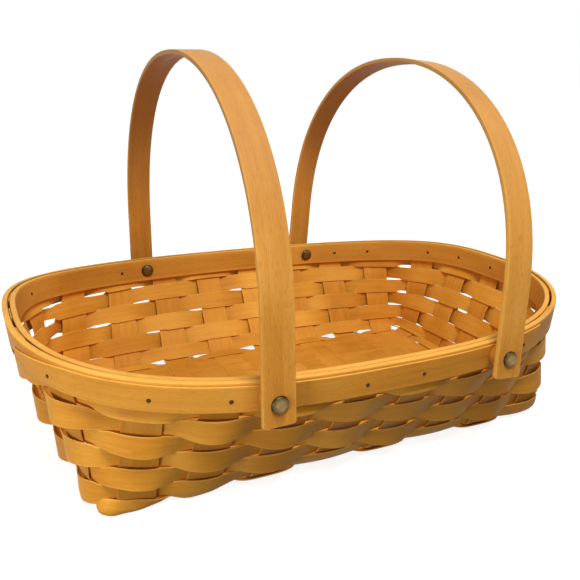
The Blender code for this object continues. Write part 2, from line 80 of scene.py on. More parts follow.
# The lengthwise splints of the base, under and over the cross stakes
FILLER_GAP = 0.0005
FILLER_OVERRUN = 0.0095
BASE_WAVE = 0.0023
BASE_WAVE_POWER = 1.35
BASE_UNDER = 0.0014
BASE_OVER = 0.0004
BASE_FLAT = 0.018
BASE_SHINGLE = 0.0018
BASE_SHINGLE_RANGE = (0.15, 0.50)

# Weaver rows, counted from the top, as shares of the height from base to rim
WEAVER_COUNT = 7
TOP_ROW_SHARE = 0.860
SECOND_ROW_SHARE = 0.711
ROW_PITCH_SHARE = 0.1455
LOWEST_ROW_SHARE = 0.35
LOWEST_ROW_RISE = 0.002
ROW_GAP = 0.0012
ROW_SLIT = 0.0001
ROW_DRIFT = 0.0004
SHINGLE = 0.0018
SHINGLE_RANGE = (0.1, 0.4)

# How far the low and the high edge of a weaver stand off the wall at a crossing
OUTER_BOWS = (0.0070, 0.0033)
INNER_BOWS = (0.0017, 0.0012)
TOP_ROW_OUTER_BOWS = (0.0045, 0.00105)
TOP_ROW_INNER_BOWS = (0.0026, 0.00105)
TUCKED_BOWS = (0.0013, 0.0030)
TUCKED_CORNER_BOW = 0.0060
INNER_BOW_FLATNESS = 0.6
ROUND_BOW_SHARPNESS = 2
BOW_VARIATION_SHARE = 0.2
LEFT_END_PLACE = 23.8
LEFT_END_REACH = 2.2
LEFT_END_SWELL = 0.35

# The near left corner, where rows lift and the lowest one stands away from the base
CORNER_LIFT_PLACE = 25.8
CORNER_LIFT_REACH = 1.4
CORNER_LIFTS = (0.0, 0.0014, 0.0046, 0.0056, 0.0080, 0.0056, 0.0)
CORNER_PUSH = 0.0120
CORNER_PUSH_ARRIVES = (25.2, 25.55)
CORNER_PUSH_LEAVES = (26.65, 26.0)
CORNER_TUCK_RISE = 0.0030
CORNER_TUCK_BOW = 0.0014

# Slots where light shows between two rows: the row above, the place and the height
SLOT_REACH = 0.22
SLOT_STEEPNESS = 3
ROW_SLOTS = (
    (0, 20.62, 0.0026), (1, 20.6, 0.0044), (2, 20.45, 0.0022), (0, 19.48, 0.0018),
    (2, 19.45, 0.0020), (0, 18.6, 0.0008), (1, 18.58, 0.0018), (2, 17.4, 0.0008),
    (3, 18.35, 0.0009), (1, 16.4, 0.0009), (5, 18.4, 0.0026), (5, 17.42, 0.0028),
    (5, 16.42, 0.0028), (5, 14.42, 0.0038), (5, 13.42, 0.0040), (0, 12.3, 0.0024),
    (1, 12.6, 0.0014), (2, 12.3, 0.0018), (3, 12.52, 0.0012), (5, 12.45, 0.0012),
    (2, 11.42, 0.0016), (1, 10.5, 0.0016), (2, 10.45, 0.0018), (2, 9.9, 0.0014),
    (6, 12.5, 0.0090),
)

# Rim bands; the visible ones fill the space that the solids leave round the stakes
BAND_HEIGHT = 0.0222
BAND_THICKNESS = 0.0026
BAND_FULL = 0.0034
BAND_TOP_EXTRA = 0.0008
BAND_TOP_STEEPNESS = 2
BAND_EDGE = 0.0009
BAND_SPACE = 0.0048
BAND_LEAN = math.radians(9)
BAND_BEND = 0.015
BAND_BEND_DROP = 0.0035
COVER_THICKNESS = 0.0012
COVER_EDGE = 0.00025
COVER_HEIGHT = 0.0185
COVER_DROP = 0.0024
COVER_TIP_HEIGHT = 0.004
COVER_START_PLACE = -1.96
COVER_TAPER_END_PLACE = -0.75
COVER_END_PLACE = 6.46

# Tacks, at places round the rim
TACK_RADIUS = 0.0015
TACK_HEIGHT = 0.0006
TACK_DEPTH = 0.012
OUTER_TACK_PLACES = (-1.96, -0.99, 0.19, 1.13, 3.01, 3.95, 6.03)
INNER_TACK_PLACES = (21.09, 18.97, 13.89, 13.14, 11.87, 11.0, 9.94)

# Handles; the colour turns duller and darker towards the top of the arch, by height over the pivot
HANDLE_WIDTH = 0.0229
HANDLE_THICKNESS = 0.0038
HANDLE_EDGE = 0.0005
HANDLE_PIVOT_SHARE = 0.3942
HANDLE_PIVOT_DROP = 0.0108
HANDLE_APEX = 0.2194
HANDLE_LEG = 0.0517
HANDLE_FOOT = 0.0148
HANDLE_FOOT_CORNER = 0.0015
HANDLE_ROUNDNESS_SHARE = 2.176
HANDLE_LEANS = {"handle_left": math.radians(-1.83), "handle_right": math.radians(4.27)}
HANDLE_TOP_RANGE = (0.04, 0.19)
HANDLE_TOP_SHARE = 0.5

# Rivets and the wedge washers behind the handle feet
RIVET_HEAD_RADIUS = 0.0057
RIVET_HEAD_HEIGHT = 0.0026
RIVET_SHANK_RADIUS = 0.002
STUD_RADIUS = 0.0060
STUD_CROWN_POWER = 0.9
STUD_FLANGE_SHARE = 1 / 6
WASHER_RADIUS = 0.0095
WASHER_DEPTH = 0.0089
WASHER_EDGE = 0.00015

# Fits
GAP = 0.0003
CUT_OVERRUN = 0.01

# How finely the shapes are divided
STATIONS_PER_STAKE = 12
CORNER_STATIONS = 20
OUTLINE_POINTS = 2400
ARC_POINTS = 8
WEAVER_POINTS = 7
SPLINT_COLUMNS = 5
BAND_COLUMNS = 7
EDGE_ARC_STEPS = 2
STAKE_STEP = 0.003
ARCH_STATIONS = 96
LEG_STATIONS = 16
FOOT_STATIONS = 6
ROUND_SIDES = 40
CROWN_STEPS = 10
TACK_SIDES = 20
TACK_STEPS = 5
SHARP_ANGLE = math.radians(50)

# Edge lightening, partly real abrasion and partly painted highlight; painted shade on faces; and
# tone: shares that the mesh keeps for the materials
FACE_EDGE_WEAR_AND_HIGHLIGHT = 0.8
FACE_EDGE_REACH = 4
FACE_SHARE = 0.99
# Less edge lightening where a weaver bows inwards, as its edges lie in shade there and get less
# painted highlight
INNER_WEAR_AND_HIGHLIGHT = 0.3
# Painted shade on a strip's face against its normals and on its face along them: the stakes' outer
# faces, the handles' inner faces, the inner band's inner face, both bands' faces in the gap
# between them, and the outer band's face behind the cover
STAKE_PAINTED_SHADE = (0.0, 0.18)
HANDLE_PAINTED_SHADE = (0.38, 0.0)
INNER_BAND_PAINTED_SHADE = (0.28, 0.7)
OUTER_BAND_PAINTED_SHADE = (0.7, 0.2)
WEAVER_TONE_SPREAD = 0.5
BAND_TONE_SPREAD = 0.4
STRIP_TONE_SPREAD = 0.35
STRIP_TONE_SHIFT = 0.15
STRIP_TONE_STEPS = 16

# Seeds of the random draws
DRIFT_SEED = 301
WEAVER_SEED = 11
CROSS_SEED = 41
LONG_SEED = 61
FILLER_SEED = 81

# Woods: colours from the darkest to the lightest, how strong the flecks are, and how far and to
# what colour edges lighten, partly real abrasion and partly painted highlight
STOP_PLACES = (0.28, 0.5, 0.72)
# Edge colours: partly real abrasion, partly painted highlight where edges catch the light
WARM_WORN_AND_LIT_EDGE = (0.93, 0.49, 0.095)
PALE_WORN_AND_LIT_EDGE = (0.90, 0.50, 0.10)
# The colour that faces darken towards under painted shade
PAINTED_SHADE_COLOUR = (0.15, 0.05, 0.008)
# The duller, darker colour towards the top of a handle's arch
HANDLE_TOP_COLOUR = (0.39, 0.215, 0.085)
WEAVER_WOOD = {
    "colours": ((0.54, 0.205, 0.018), (0.73, 0.31, 0.032), (0.86, 0.415, 0.060)),
    "fleck": 0.15, "worn_and_lit_edges": (0.5, 1.0), "worn_and_lit_edge_colour": WARM_WORN_AND_LIT_EDGE,
}
STAKE_WOOD = {
    "colours": ((0.52, 0.19, 0.018), (0.70, 0.285, 0.030), (0.82, 0.38, 0.053)),
    "fleck": 0.15, "worn_and_lit_edges": (0.0, 0.25), "worn_and_lit_edge_colour": PALE_WORN_AND_LIT_EDGE,
}
BAND_WOOD = {
    "colours": ((0.50, 0.19, 0.018), (0.72, 0.30, 0.034), (0.86, 0.40, 0.062)),
    "fleck": 0.2, "worn_and_lit_edges": (0.4, 0.8), "worn_and_lit_edge_colour": WARM_WORN_AND_LIT_EDGE,
}
HANDLE_COLOURS = ((0.50, 0.19, 0.024), (0.70, 0.295, 0.042), (0.84, 0.40, 0.078))
HANDLE_WOOD = {
    "colours": HANDLE_COLOURS, "fleck": 0.32, "worn_and_lit_edges": (0.15, 0.6), "worn_and_lit_edge_colour": PALE_WORN_AND_LIT_EDGE,
    "top_dulling_colour": HANDLE_TOP_COLOUR,
}
WASHER_WOOD = {
    "colours": HANDLE_COLOURS, "fleck": 0.3, "worn_and_lit_edges": (0.15, 0.6), "worn_and_lit_edge_colour": PALE_WORN_AND_LIT_EDGE,
}

# Patches, figure, fibres and pores: scales along and across a strip, to the metre, and detail
GRAIN = (((18, 40), 2.0), ((7, 260), 3.0), ((38, 1700), 2.0), ((150, 2600), 1.0))
GRAIN_WEIGHTS = (0.3, 0.3, 0.18)
TONE_WEIGHT = 0.28
PORE_HEIGHT = 0.6
NOISE_OFFSET = (3.7, 1.9, 5.3)
NOISE_ROUGH = 0.55
NOISE_RANGE = (0.3, 0.7)
FLECK_RANGE = (0.56, 0.66)
FLECK_DARKNESS = 0.35
# How far painted shade takes a face towards its colour
PAINTED_SHADE_DEPTH = 0.85
WOOD_ROUGHNESS = (0.46, 0.62)
WOOD_SHEEN = 0.12
WOOD_BUMP = (0.22, 0.0004)

# Metals, with the scales and detail of the patina's clouds and of its grains
PATINA = (((220, 220), 3.0), ((2600, 2600), 2.0))
PATINA_WEIGHTS = (0.7, 0.3)
METAL_STOP_PLACES = (0.3, 0.7)
METAL_BUMP = (0.15, 0.0002)
# A lighter crown and darker edge on round heads: partly real polish and patina, partly painted
# highlight and painted shade for the dome
LIT_RUBBED_CROWN_SHARE = 0.45
PATINA_AND_EDGE_SHADE_DARKNESS = 0.3
BRASS = {
    "colours": ((0.13, 0.085, 0.035), (0.34, 0.225, 0.09)), "roughness": (0.28, 0.45),
    "crown": STUD_RADIUS,
}
DARK_STEEL = {
    "colours": ((0.035, 0.016, 0.006), (0.085, 0.042, 0.016)), "roughness": (0.55, 0.75),
}

# Stage
CAMERA_PLACE = (-0.26337, -0.57449, 0.28963)
CAMERA_YAW = 0.474
CAMERA_TILT = math.pi / 2 - 0.154
CAMERA_ROLL = 0.022
CAMERA_LENS = 44.495
CAMERA_SENSOR = 36.0
CAMERA_SHIFT = (-0.0584, -0.1654)
LAMP_COLOUR = (1.0, 0.98, 0.94)
KEY_LAMP = {"place": (-0.10, -0.72, 1.20), "size": (0.5, 0.5), "power": 14.0}
SIDE_LAMP = {"place": (-0.80, -0.46, 0.09), "size": (0.4, 0.14), "power": 2.9}
SKY_COLOUR = (1.0, 0.985, 0.96)
SKY_STRENGTH = 0.37
WHITE = (1.0, 1.0, 1.0)
FLOOR_REACH = 60.0
FLOOR_QUIET = (0.04, 0.036, 0.032)
FLOOR_SHADOWED = (0.45, 0.45, 0.45)
FLOOR_GLOW = 0.86

# The sides of the basket: axis along it, side of the other axis, direction and stakes
STAKE_SIDES = (
    (0, -1, 1, CROSS_STAKE_COUNT), (1, 1, 1, LONG_STAKE_COUNT),
    (0, 1, -1, CROSS_STAKE_COUNT), (1, -1, -1, LONG_STAKE_COUNT),
)

# Worked out from the above
STAKE_COUNT = 2 * (CROSS_STAKE_COUNT + LONG_STAKE_COUNT)
BASE_MID_Z = BASE_WAVE + SPLINT / 2
INNER_FACE = -(BAND_SPACE + BAND_THICKNESS) / 2 - BAND_THICKNESS / 2
OUTER_FACE = -INNER_FACE
COVER_OUTSET = BAND_SPACE / 2 + BAND_THICKNESS + GAP + COVER_THICKNESS / 2
COVER_FACE = COVER_OUTSET + COVER_THICKNESS / 2
HALF_WALL = (BAND_SPACE / 2 + BAND_THICKNESS) / math.cos(BAND_LEAN)
OUTER_STAKE_X = BASE_LENGTH / 2 - STAKE_END_MARGIN - STAKE_WIDTH / 2
OUTER_STAKE_Y = BASE_WIDTH / 2 - STAKE_SIDE_MARGIN - STAKE_WIDTH / 2
CROSS_STAKE_PITCH = 2 * OUTER_STAKE_X / (CROSS_STAKE_COUNT - 1)
LONG_STAKE_PITCH = 2 * OUTER_STAKE_Y / (LONG_STAKE_COUNT - 1)
FILLER_WIDTH = LONG_STAKE_PITCH - STAKE_WIDTH - 2 * FILLER_GAP
FLAT_START_X = OUTER_STAKE_X - STAKE_WIDTH / 2
RIM_MID_X = RIM_LENGTH / 2 - HALF_WALL
RIM_MID_Y = RIM_WIDTH / 2 - HALF_WALL
HANDLE_PIVOT_X = HANDLE_PIVOT_SHARE * RIM_MID_X


def eased(share):
    share = min(1.0, max(0.0, share))
    return share * share * (3 - 2 * share)


def eased_between(value, ends):
    return eased((value - ends[0]) / (ends[1] - ends[0]))


def smooth_values(rng, count, spread):
    """Seeded values at whole steps, and the eased value anywhere between them."""
    values = rng.uniform(-spread, spread, count)

    def value(place):
        low = math.floor(place)
        mix = eased(place - low)
        return (1 - mix) * values[low % count] + mix * values[(low + 1) % count]

    return value


def short_way(places):
    """A run of places round the basket, counted the short way."""
    return (places + STAKE_COUNT / 2) % STAKE_COUNT - STAKE_COUNT / 2


def nearness(place, middle, reach):
    """One at a place, and eased down to nothing this many places from it."""
    return eased(1 - abs(short_way(place - middle)) / reach)


# Outlines: the base edge and the middle of the wall at the rim, both anticlockwise from (-X, 0)


def superellipse_points(turns, roundness, half_width, half_height):
    """Points on an oval that grows squarer as its roundness passes 2, an ellipse's."""
    points = np.stack([np.cos(turns), np.sin(turns)], axis=1)
    return np.sign(points) * np.abs(points) ** (2 / roundness) * (half_width, half_height)


def rounded_rectangle_points():
    inset = np.array([BASE_LENGTH, BASE_WIDTH]) / 2 - BASE_CORNER_RADIUS
    points = [(-BASE_LENGTH / 2, 0.0)]
    for quarter, corner in enumerate(((-1, -1), (1, -1), (1, 1), (-1, 1))):
        for turn in np.linspace(0, math.pi / 2, 4 * ARC_POINTS + 1):
            angle = math.pi + quarter * math.pi / 2 + turn
            spoke = np.array([math.cos(angle), math.sin(angle)])
            points.append(corner * inset + BASE_CORNER_RADIUS * spoke)
    return np.array([*points, points[0]])


def arc_lengths(points):
    return np.concatenate([[0], np.cumsum(np.linalg.norm(np.diff(points, axis=0), axis=1))])


def stake_share(index):
    """The axis that a stake is placed on, its share of the outer stake's place, and its side."""
    index = index % STAKE_COUNT
    for axis, side, direction, count in STAKE_SIDES:
        if index < count:
            return axis, direction * (2 / (count - 1) * index - 1), side
        index -= count


class Outline:
    """A closed outline that knows how far round it each stake stands."""

    def __init__(self, points, outer_x, outer_y):
        self.points = points
        self.outer = (outer_x, outer_y)
        self.arcs = arc_lengths(points)
        self.total = self.arcs[-1]
        self.first = -(LONG_STAKE_COUNT // 2) - 1
        self.places = np.arange(self.first, self.first + STAKE_COUNT + 1)
        inner = [self.arc_at(place) for place in self.places[1:-1]]
        self.stake_arcs = np.array([0.0, *inner, self.total])

    def arc_at(self, place):
        axis, share, side = stake_share(place)
        value = share * self.outer[axis]
        on_side = np.nonzero(self.points[:, 1 - axis] * side > 0)[0]
        order = on_side[np.argsort(self.points[on_side, axis])]
        return float(np.interp(value, self.points[order, axis], self.arcs[order]))

    def arc_to(self, place):
        wrapped = (place - self.first) % STAKE_COUNT + self.first
        return np.interp(wrapped, self.places, self.stake_arcs)

    def point(self, place):
        arc = self.arc_to(place)
        return np.array([np.interp(arc, self.arcs, self.points[:, axis]) for axis in (0, 1)])

    def normal(self, place):
        """The level direction out of the outline at a place."""
        side_share = 0.01
        run = self.point(place + side_share) - self.point(place - side_share)
        return np.array([run[1], -run[0]]) / np.linalg.norm(run)

    def beside(self, place, distance):
        """The place that lies this far round the outline from a stake."""
        arc = (self.arc_to(place) + distance) % self.total
        return place + short_way(np.interp(arc, self.stake_arcs, self.places) - place)


# The wall


def rim_height(x):
    share = abs(x) / (RIM_LENGTH / 2)
    soft = RIM_SOFT_RISE_SHARE * share**2
    return RIM_HEIGHT + RIM_END_RISE * (soft + (1 - RIM_SOFT_RISE_SHARE) * share**4)


def base_height(x):
    return BASE_MID_Z + BASE_BOW * max(0.0, 1 - (x / FLAT_START_X) ** 2)


def fillet_points(before, corner, after, radius):
    arrive = (corner - before) / np.linalg.norm(corner - before)
    leave = (after - corner) / np.linalg.norm(after - corner)
    cross = arrive[0] * leave[1] - arrive[1] * leave[0]
    turn = math.atan2(cross, float(arrive @ leave))
    start = corner - radius * math.tan(abs(turn) / 2) * arrive
    centre = start + math.copysign(1, turn) * radius * np.array([-arrive[1], arrive[0]])
    spoke = start - centre
    points = []
    for angle in turn * np.linspace(0, 1, ARC_POINTS + 1):
        cos, sin = math.cos(angle), math.sin(angle)
        points.append(centre + [cos * spoke[0] - sin * spoke[1], sin * spoke[0] + cos * spoke[1]])
    return points


class Section:
    """A cut up the wall: distance along it against outward distance and height.

    Inside the base edge it runs square to that edge, and outside it towards its place on the rim.
    """

    def __init__(self, foot, square, top):
        self.foot = foot
        self.square = square
        self.top_z = rim_height(top[0])
        self.base_z = base_height(foot[0])
        reach = np.linalg.norm(top - foot)
        self.outward = (top - foot) / reach
        rise = self.top_z - self.base_z
        bend_depth = BAND_HEIGHT * math.cos(BAND_LEAN) + BAND_BEND_DROP
        bend = np.array([reach - bend_depth * math.tan(BAND_LEAN), rise - bend_depth])
        inner, corner = np.array([-BASE_WIDTH / 2, 0.0]), np.zeros(2)
        end = np.array([reach, rise])
        low = fillet_points(inner, corner, bend, BASE_FILLET)
        high = fillet_points(corner, bend, end, BAND_BEND)
        past = end + CUT_OVERRUN * (end - bend) / np.linalg.norm(end - bend)
        self.points = np.array([inner, *low, *high, end, past])
        lengths = arc_lengths(self.points)
        self.lengths = lengths - lengths[1]
        self.rim = self.lengths[-2]

    def at_share(self, share):
        """The distance along the wall at a share of the height from base to rim."""
        rise = share * (self.top_z - self.base_z)
        return float(np.interp(rise, self.points[1:, 1], self.lengths[1:]))

    def point(self, along):
        out, up = (np.interp(along, self.lengths, self.points[:, axis]) for axis in (0, 1))
        level = self.foot + min(out, 0.0) * self.square + max(out, 0.0) * self.outward
        return np.array([*level, self.base_z + up])


BASE_OUTLINE = Outline(rounded_rectangle_points(), OUTER_STAKE_X, OUTER_STAKE_Y)
RIM_TURNS = np.linspace(math.pi, 3 * math.pi, OUTLINE_POINTS + 1)
RIM_OUTLINE = Outline(
    superellipse_points(RIM_TURNS, RIM_ROUNDNESS_SHARE, RIM_MID_X, RIM_MID_Y),
    RIM_STAKE_X_SHARE * RIM_MID_X, RIM_STAKE_Y_SHARE * RIM_MID_Y,
)
HANDLE_PIVOT_Z = rim_height(HANDLE_PIVOT_X) - HANDLE_PIVOT_DROP
SECTIONS = {}


def section_at(place):
    key = round(float(place), 6)
    if key not in SECTIONS:
        foot, top = BASE_OUTLINE.point(place), RIM_OUTLINE.point(place)
        SECTIONS[key] = Section(foot, BASE_OUTLINE.normal(place), top)
    return SECTIONS[key]


def wall_normal(place, along):
    """The direction out of the basket at a point of the wall."""
    side_share, step = 0.02, SPLINT / 2
    round_run = section_at(place + side_share).point(along)
    round_run -= section_at(place - side_share).point(along)
    here = section_at(place)
    normal = np.cross(round_run, here.point(along + step) - here.point(along - step))
    return normal / np.linalg.norm(normal)


def wall_point(place, along, outset):
    return section_at(place).point(along) + outset * wall_normal(place, along)


# Strips: closed bands with softened edges, swept along the middle surface of a splint


def section_ring(thickness, edge, columns):
    """Points round a strip's section: share of the width, inset from the edge, height and edge
    lightening (abrasion and painted highlight).
    """
    half = thickness / 2
    upper = [(-1.0, edge, half, FACE_EDGE_WEAR_AND_HIGHLIGHT)]
    upper += [(share, FACE_EDGE_REACH * edge, half, 0.0) for share in np.linspace(-1, 1, columns)]
    upper.append((1.0, edge, half, FACE_EDGE_WEAR_AND_HIGHLIGHT))
    arc = []
    for turn in np.linspace(0, math.pi / 2, EDGE_ARC_STEPS + 1)[1:]:
        inset, drop = edge * (1 - math.sin(turn)), edge * (1 - math.cos(turn))
        arc.append((1.0, inset, half - drop, 1.0))
    upper += arc
    lower = [(share, inset, -height, wear) for share, inset, height, wear in reversed(upper)]
    far = [(-1.0, inset, -height, wear) for _, inset, height, wear in arc]
    far += [(-1.0, inset, height, wear) for _, inset, height, wear in reversed(arc)]
    return upper + lower + far


def strip(
    name, middles, normals, thickness, edge, columns, material, tones,
    closed=False, wears=None, top_dulling_shares=None, pad=None, dark=(0.0, 0.0),
):
    """A strip through rows of middle points, each row from one long edge to the other.

    dark says how much painted shade darkens its face against the normals and its face along them.
    The looks colour of a vertex holds its edge lightening (abrasion and painted highlight), tone,
    painted shade and top dulling.
    """
    middles, normals = np.array(middles, float), np.array(normals, float)
    normals /= np.linalg.norm(normals, axis=2, keepdims=True)
    count, across = middles.shape[:2]
    wears = [1.0] * count if wears is None else wears
    top_dulling_shares = [0.0] * count if top_dulling_shares is None else top_dulling_shares
    half_widths = np.linalg.norm(np.diff(middles, axis=1), axis=2).sum(axis=1) / 2
    ring = section_ring(thickness, edge, columns)
    shares, insets, heights, _ = np.array(ring).T
    at = (shares * np.maximum(0.0, 1 - insets / half_widths[:, None]) + 1) / 2 * (across - 1)
    low = np.minimum(at.astype(int), across - 2)
    mix, number = (at - low)[..., None], np.arange(count)[:, None]
    points, outs = (
        (1 - mix) * values[number, low] + mix * values[number, low + 1]
        for values in (middles, normals)
    )
    pads = [0.0 if pad is None else pad(share, height) for share, _, height, _ in ring]
    points += (heights + pads)[:, None] * outs
    outline = np.stack([shares * (half_widths.mean() - insets), heights], axis=1)
    around = arc_lengths(np.concatenate([outline, outline[:1]]))
    spine = middles[:, across // 2]
    runs = arc_lengths(np.concatenate([spine, spine[:1]]))
    mesh_data = bmesh.new()
    map_layer = mesh_data.loops.layers.uv.new("grain")
    looks = mesh_data.verts.layers.float_color.new("looks")
    rows = []
    for number, row in enumerate(points):
        rows.append([mesh_data.verts.new(point) for point in row])
        for vert, (_, _, height, wear) in zip(rows[-1], ring):
            # Painted shade, on the two broad faces only
            darkness = dark[height > 0] if abs(height) > FACE_SHARE * thickness / 2 else 0.0
            vert[looks] = (wear * wears[number], tones[number], darkness, top_dulling_shares[number])
    for number in range(count if closed else count - 1):
        first, second = rows[number], rows[(number + 1) % count]
        low_u, high_u = runs[number], runs[number + 1]
        for index in range(len(ring)):
            after = (index + 1) % len(ring)
            face = mesh_data.faces.new((first[index], first[after], second[after], second[index]))
            low_v, high_v = around[index], around[index + 1]
            corners = ((low_u, low_v), (low_u, high_v), (high_u, high_v), (high_u, low_v))
            for loop, corner in zip(face.loops, corners):
                loop[map_layer].uv = corner
    if not closed:
        mesh_data.faces.new(rows[0])
        mesh_data.faces.new(rows[-1])
    obj = finished_mesh(name, mesh_data, material)
    flat = obj.modifiers.new("flat_faces", "WEIGHTED_NORMAL")
    flat.keep_sharp = True
    return obj


def finished_mesh(name, mesh_data, material, smooth=True):
    for face in mesh_data.faces:
        face.smooth = smooth
    bmesh.ops.recalc_face_normals(mesh_data, faces=mesh_data.faces)
    mesh = bpy.data.meshes.new(name)
    mesh_data.to_mesh(mesh)
    mesh_data.free()
    mesh.materials.append(material)
    mesh.set_sharp_from_angle(angle=SHARP_ANGLE)
    obj = bpy.data.objects.new(name, mesh)
    bpy.context.scene.collection.objects.link(obj)
    return obj


def splint(name, middles, normals, material, tones, **looks):
    """A strip of the thickness that all the splints of the weave have."""
    return strip(
        name, middles, normals, SPLINT, SPLINT_EDGE, SPLINT_COLUMNS, material, tones, **looks
    )


def dress(obj, body, slot, *nodes):
    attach(obj, body)
    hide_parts(*nodes)


# Weavers

ROW_DRIFTS = [
    smooth_values(np.random.default_rng(DRIFT_SEED + row), STAKE_COUNT, ROW_DRIFT)
    for row in range(WEAVER_COUNT)
]


def ring_places():
    """Stations round the basket, closer together at its four corners."""
    corners = np.cumsum([count for *_, count in STAKE_SIDES]) - 1
    places = []
    for index in range(STAKE_COUNT):
        count = CORNER_STATIONS if index in corners else STATIONS_PER_STAKE
        places += [index + step / count for step in range(count)]
    return places


def lowest_row_start(section):
    """The lowest weaver tucks under the base along the sides, and clears it round the ends."""
    corner_x = BASE_LENGTH / 2 - BASE_CORNER_RADIUS / 3
    side_share = min(1.0, max(0.0, (corner_x - abs(section.foot[0])) / BASE_CORNER_RADIUS))
    round_width = -section.points[1, 0]
    tucked = round_width - (STAKE_SIDE_MARGIN - ROW_GAP)
    return LOWEST_ROW_RISE + side_share * (tucked - LOWEST_ROW_RISE)


def boundary(row, section, place):
    """The distance up the wall of the line under a weaver, which is also the top of the next."""
    start = lowest_row_start(section)
    if row == WEAVER_COUNT - 1:
        return start - ROW_GAP / 2
    if row < 0:
        return section.at_share(TOP_ROW_SHARE)
    near = nearness(place, CORNER_LIFT_PLACE, CORNER_LIFT_REACH)
    shift = near * CORNER_LIFTS[row] + ROW_DRIFTS[row](place)
    if row < WEAVER_COUNT - 2:
        return section.at_share(SECOND_ROW_SHARE - ROW_PITCH_SHARE * row) + shift
    top = section.at_share(SECOND_ROW_SHARE - ROW_PITCH_SHARE * (WEAVER_COUNT - 3))
    return start + LOWEST_ROW_SHARE * (top - start) + shift


def row_edges(row, section, place):
    """The lower and upper edge of a weaver, as distances along the wall."""
    return boundary(row, section, place), boundary(row - 1, section, place)


def slot_height(row, place):
    """How far apart a row and the one below it stand at a place."""
    height = ROW_SLIT
    for above, middle, opening in ROW_SLOTS:
        if above == row:
            near = SLOT_REACH - abs(short_way(place - middle))
            height += opening * eased(SLOT_STEEPNESS * near / SLOT_REACH)
    return height


def bow(row, place):
    """How far a weaver has gone to one side of the wall, from -1 inside to 1 outside."""
    shifted = place - FIRST_CROSSING_SHIFT * nearness(place, 0, 1)
    wave = (-1) ** row * math.cos(math.pi * shifted)
    if row in (0, WEAVER_COUNT - 1):
        return math.tanh(ROUND_BOW_SHARPNESS * wave) / math.tanh(ROUND_BOW_SHARPNESS)
    return wave if wave > 0 else -(abs(wave) ** INNER_BOW_FLATNESS)


def corner_share(place):
    """How much the near left corner's push is felt at a place, from 0 to 1."""
    place = place if place > STAKE_COUNT / 2 else place + STAKE_COUNT
    return eased_between(place, CORNER_PUSH_ARRIVES) * eased_between(place, CORNER_PUSH_LEAVES)


def bow_depths(row, place, outside):
    """How far the low and the high edge of a weaver stand off the wall at a crossing."""
    if row == WEAVER_COUNT - 1:
        tucked_high = TUCKED_BOWS[1] - CORNER_TUCK_BOW * corner_share(place)
        return TUCKED_BOWS[0], tucked_high if outside else INNER_BOWS[1]
    if row == WEAVER_COUNT - 2 and outside:
        near = nearness(place, CORNER_LIFT_PLACE, 2 * CORNER_LIFT_REACH)
        return TUCKED_BOWS[0] + near * TUCKED_CORNER_BOW, TUCKED_BOWS[1]
    if row == 0:
        return TOP_ROW_OUTER_BOWS if outside else TOP_ROW_INNER_BOWS
    return OUTER_BOWS if outside else INNER_BOWS


def weaver_edges(row, section, place, side):
    """Where a weaver's edges are: a row laps over the one under it, apart from at a slot."""
    low, high = row_edges(row, section, place)
    if row > 0:
        slot = slot_height(row - 1, place)
        high -= slot / 2
        if slot < 2 * ROW_SLIT:
            high += SHINGLE * eased_between(side, SHINGLE_RANGE)
    if row < WEAVER_COUNT - 1:
        slot = slot_height(row, place)
        low += slot / 2
        if slot < 2 * ROW_SLIT:
            low -= SHINGLE / 2 * eased_between(-side, SHINGLE_RANGE)
    else:
        low += slot_height(row, place) - ROW_SLIT
        low -= ROW_GAP / 2 + BASE_SHINGLE
        high += CORNER_TUCK_RISE * corner_share(place)
    return low, high


def weaver_row(row, place, swell):
    """The middle points across a weaver, from its low edge to its high one."""
    section = section_at(place)
    side = bow(row, place)
    low, high = weaver_edges(row, section, place, side)
    low_depth, high_depth = bow_depths(row, place, side > 0)
    push = CORNER_PUSH * corner_share(place) if row == WEAVER_COUNT - 1 else 0.0
    outward = np.array([*section.outward, 0.0])
    points = []
    for along in np.linspace(low, high, WEAVER_POINTS):
        share = (along - low) / (high - low)
        if row == 0:
            share = eased_between(along, (low, section.rim - BAND_HEIGHT))
        depth = low_depth + share * (high_depth - low_depth)
        normal = wall_normal(place, along)
        leant = push * (1 - share)
        point = section.point(along) + side * swell * depth * normal + leant * outward
        point[2] = max(point[2], SPLINT / 2 + SPLINT_EDGE)
        points.append(point)
    return points


def turned_normals(middles):
    """The directions square to a closed ring of rows of points, out of the basket."""
    points = np.array(middles)
    along = np.roll(points, -1, axis=0) - np.roll(points, 1, axis=0)
    return np.cross(along, np.gradient(points, axis=1))


def weaver(row, material):
    rng = np.random.default_rng(WEAVER_SEED + row)
    strength = smooth_values(rng, STAKE_COUNT, BOW_VARIATION_SHARE)
    tone = smooth_values(rng, 2 * STAKE_COUNT, WEAVER_TONE_SPREAD)
    middles, tones, wears = [], [], []
    for place in ring_places():
        left_end = nearness(place, LEFT_END_PLACE, LEFT_END_REACH)
        swell = 1 + strength(place) + LEFT_END_SWELL * left_end
        if row in (0, WEAVER_COUNT - 1):
            swell = 1.0
        middles.append(weaver_row(row, place, swell))
        tones.append(0.5 + tone(2 * place))
        # Edges lighten most on outer bows and least on inner ones: partly real abrasion, partly
        # painted highlight where the edges catch the light
        wears.append(INNER_WEAR_AND_HIGHLIGHT + (1 - INNER_WEAR_AND_HIGHLIGHT) * eased(0.5 + bow(row, place)))
    obj = splint(
        f"woven_row_{row + 1}", middles, turned_normals(middles), material, tones,
        closed=True, wears=wears,
    )
    dress(obj, "basket", "weaver_splint", f"weaver_{row + 1}")


# Stakes and the base


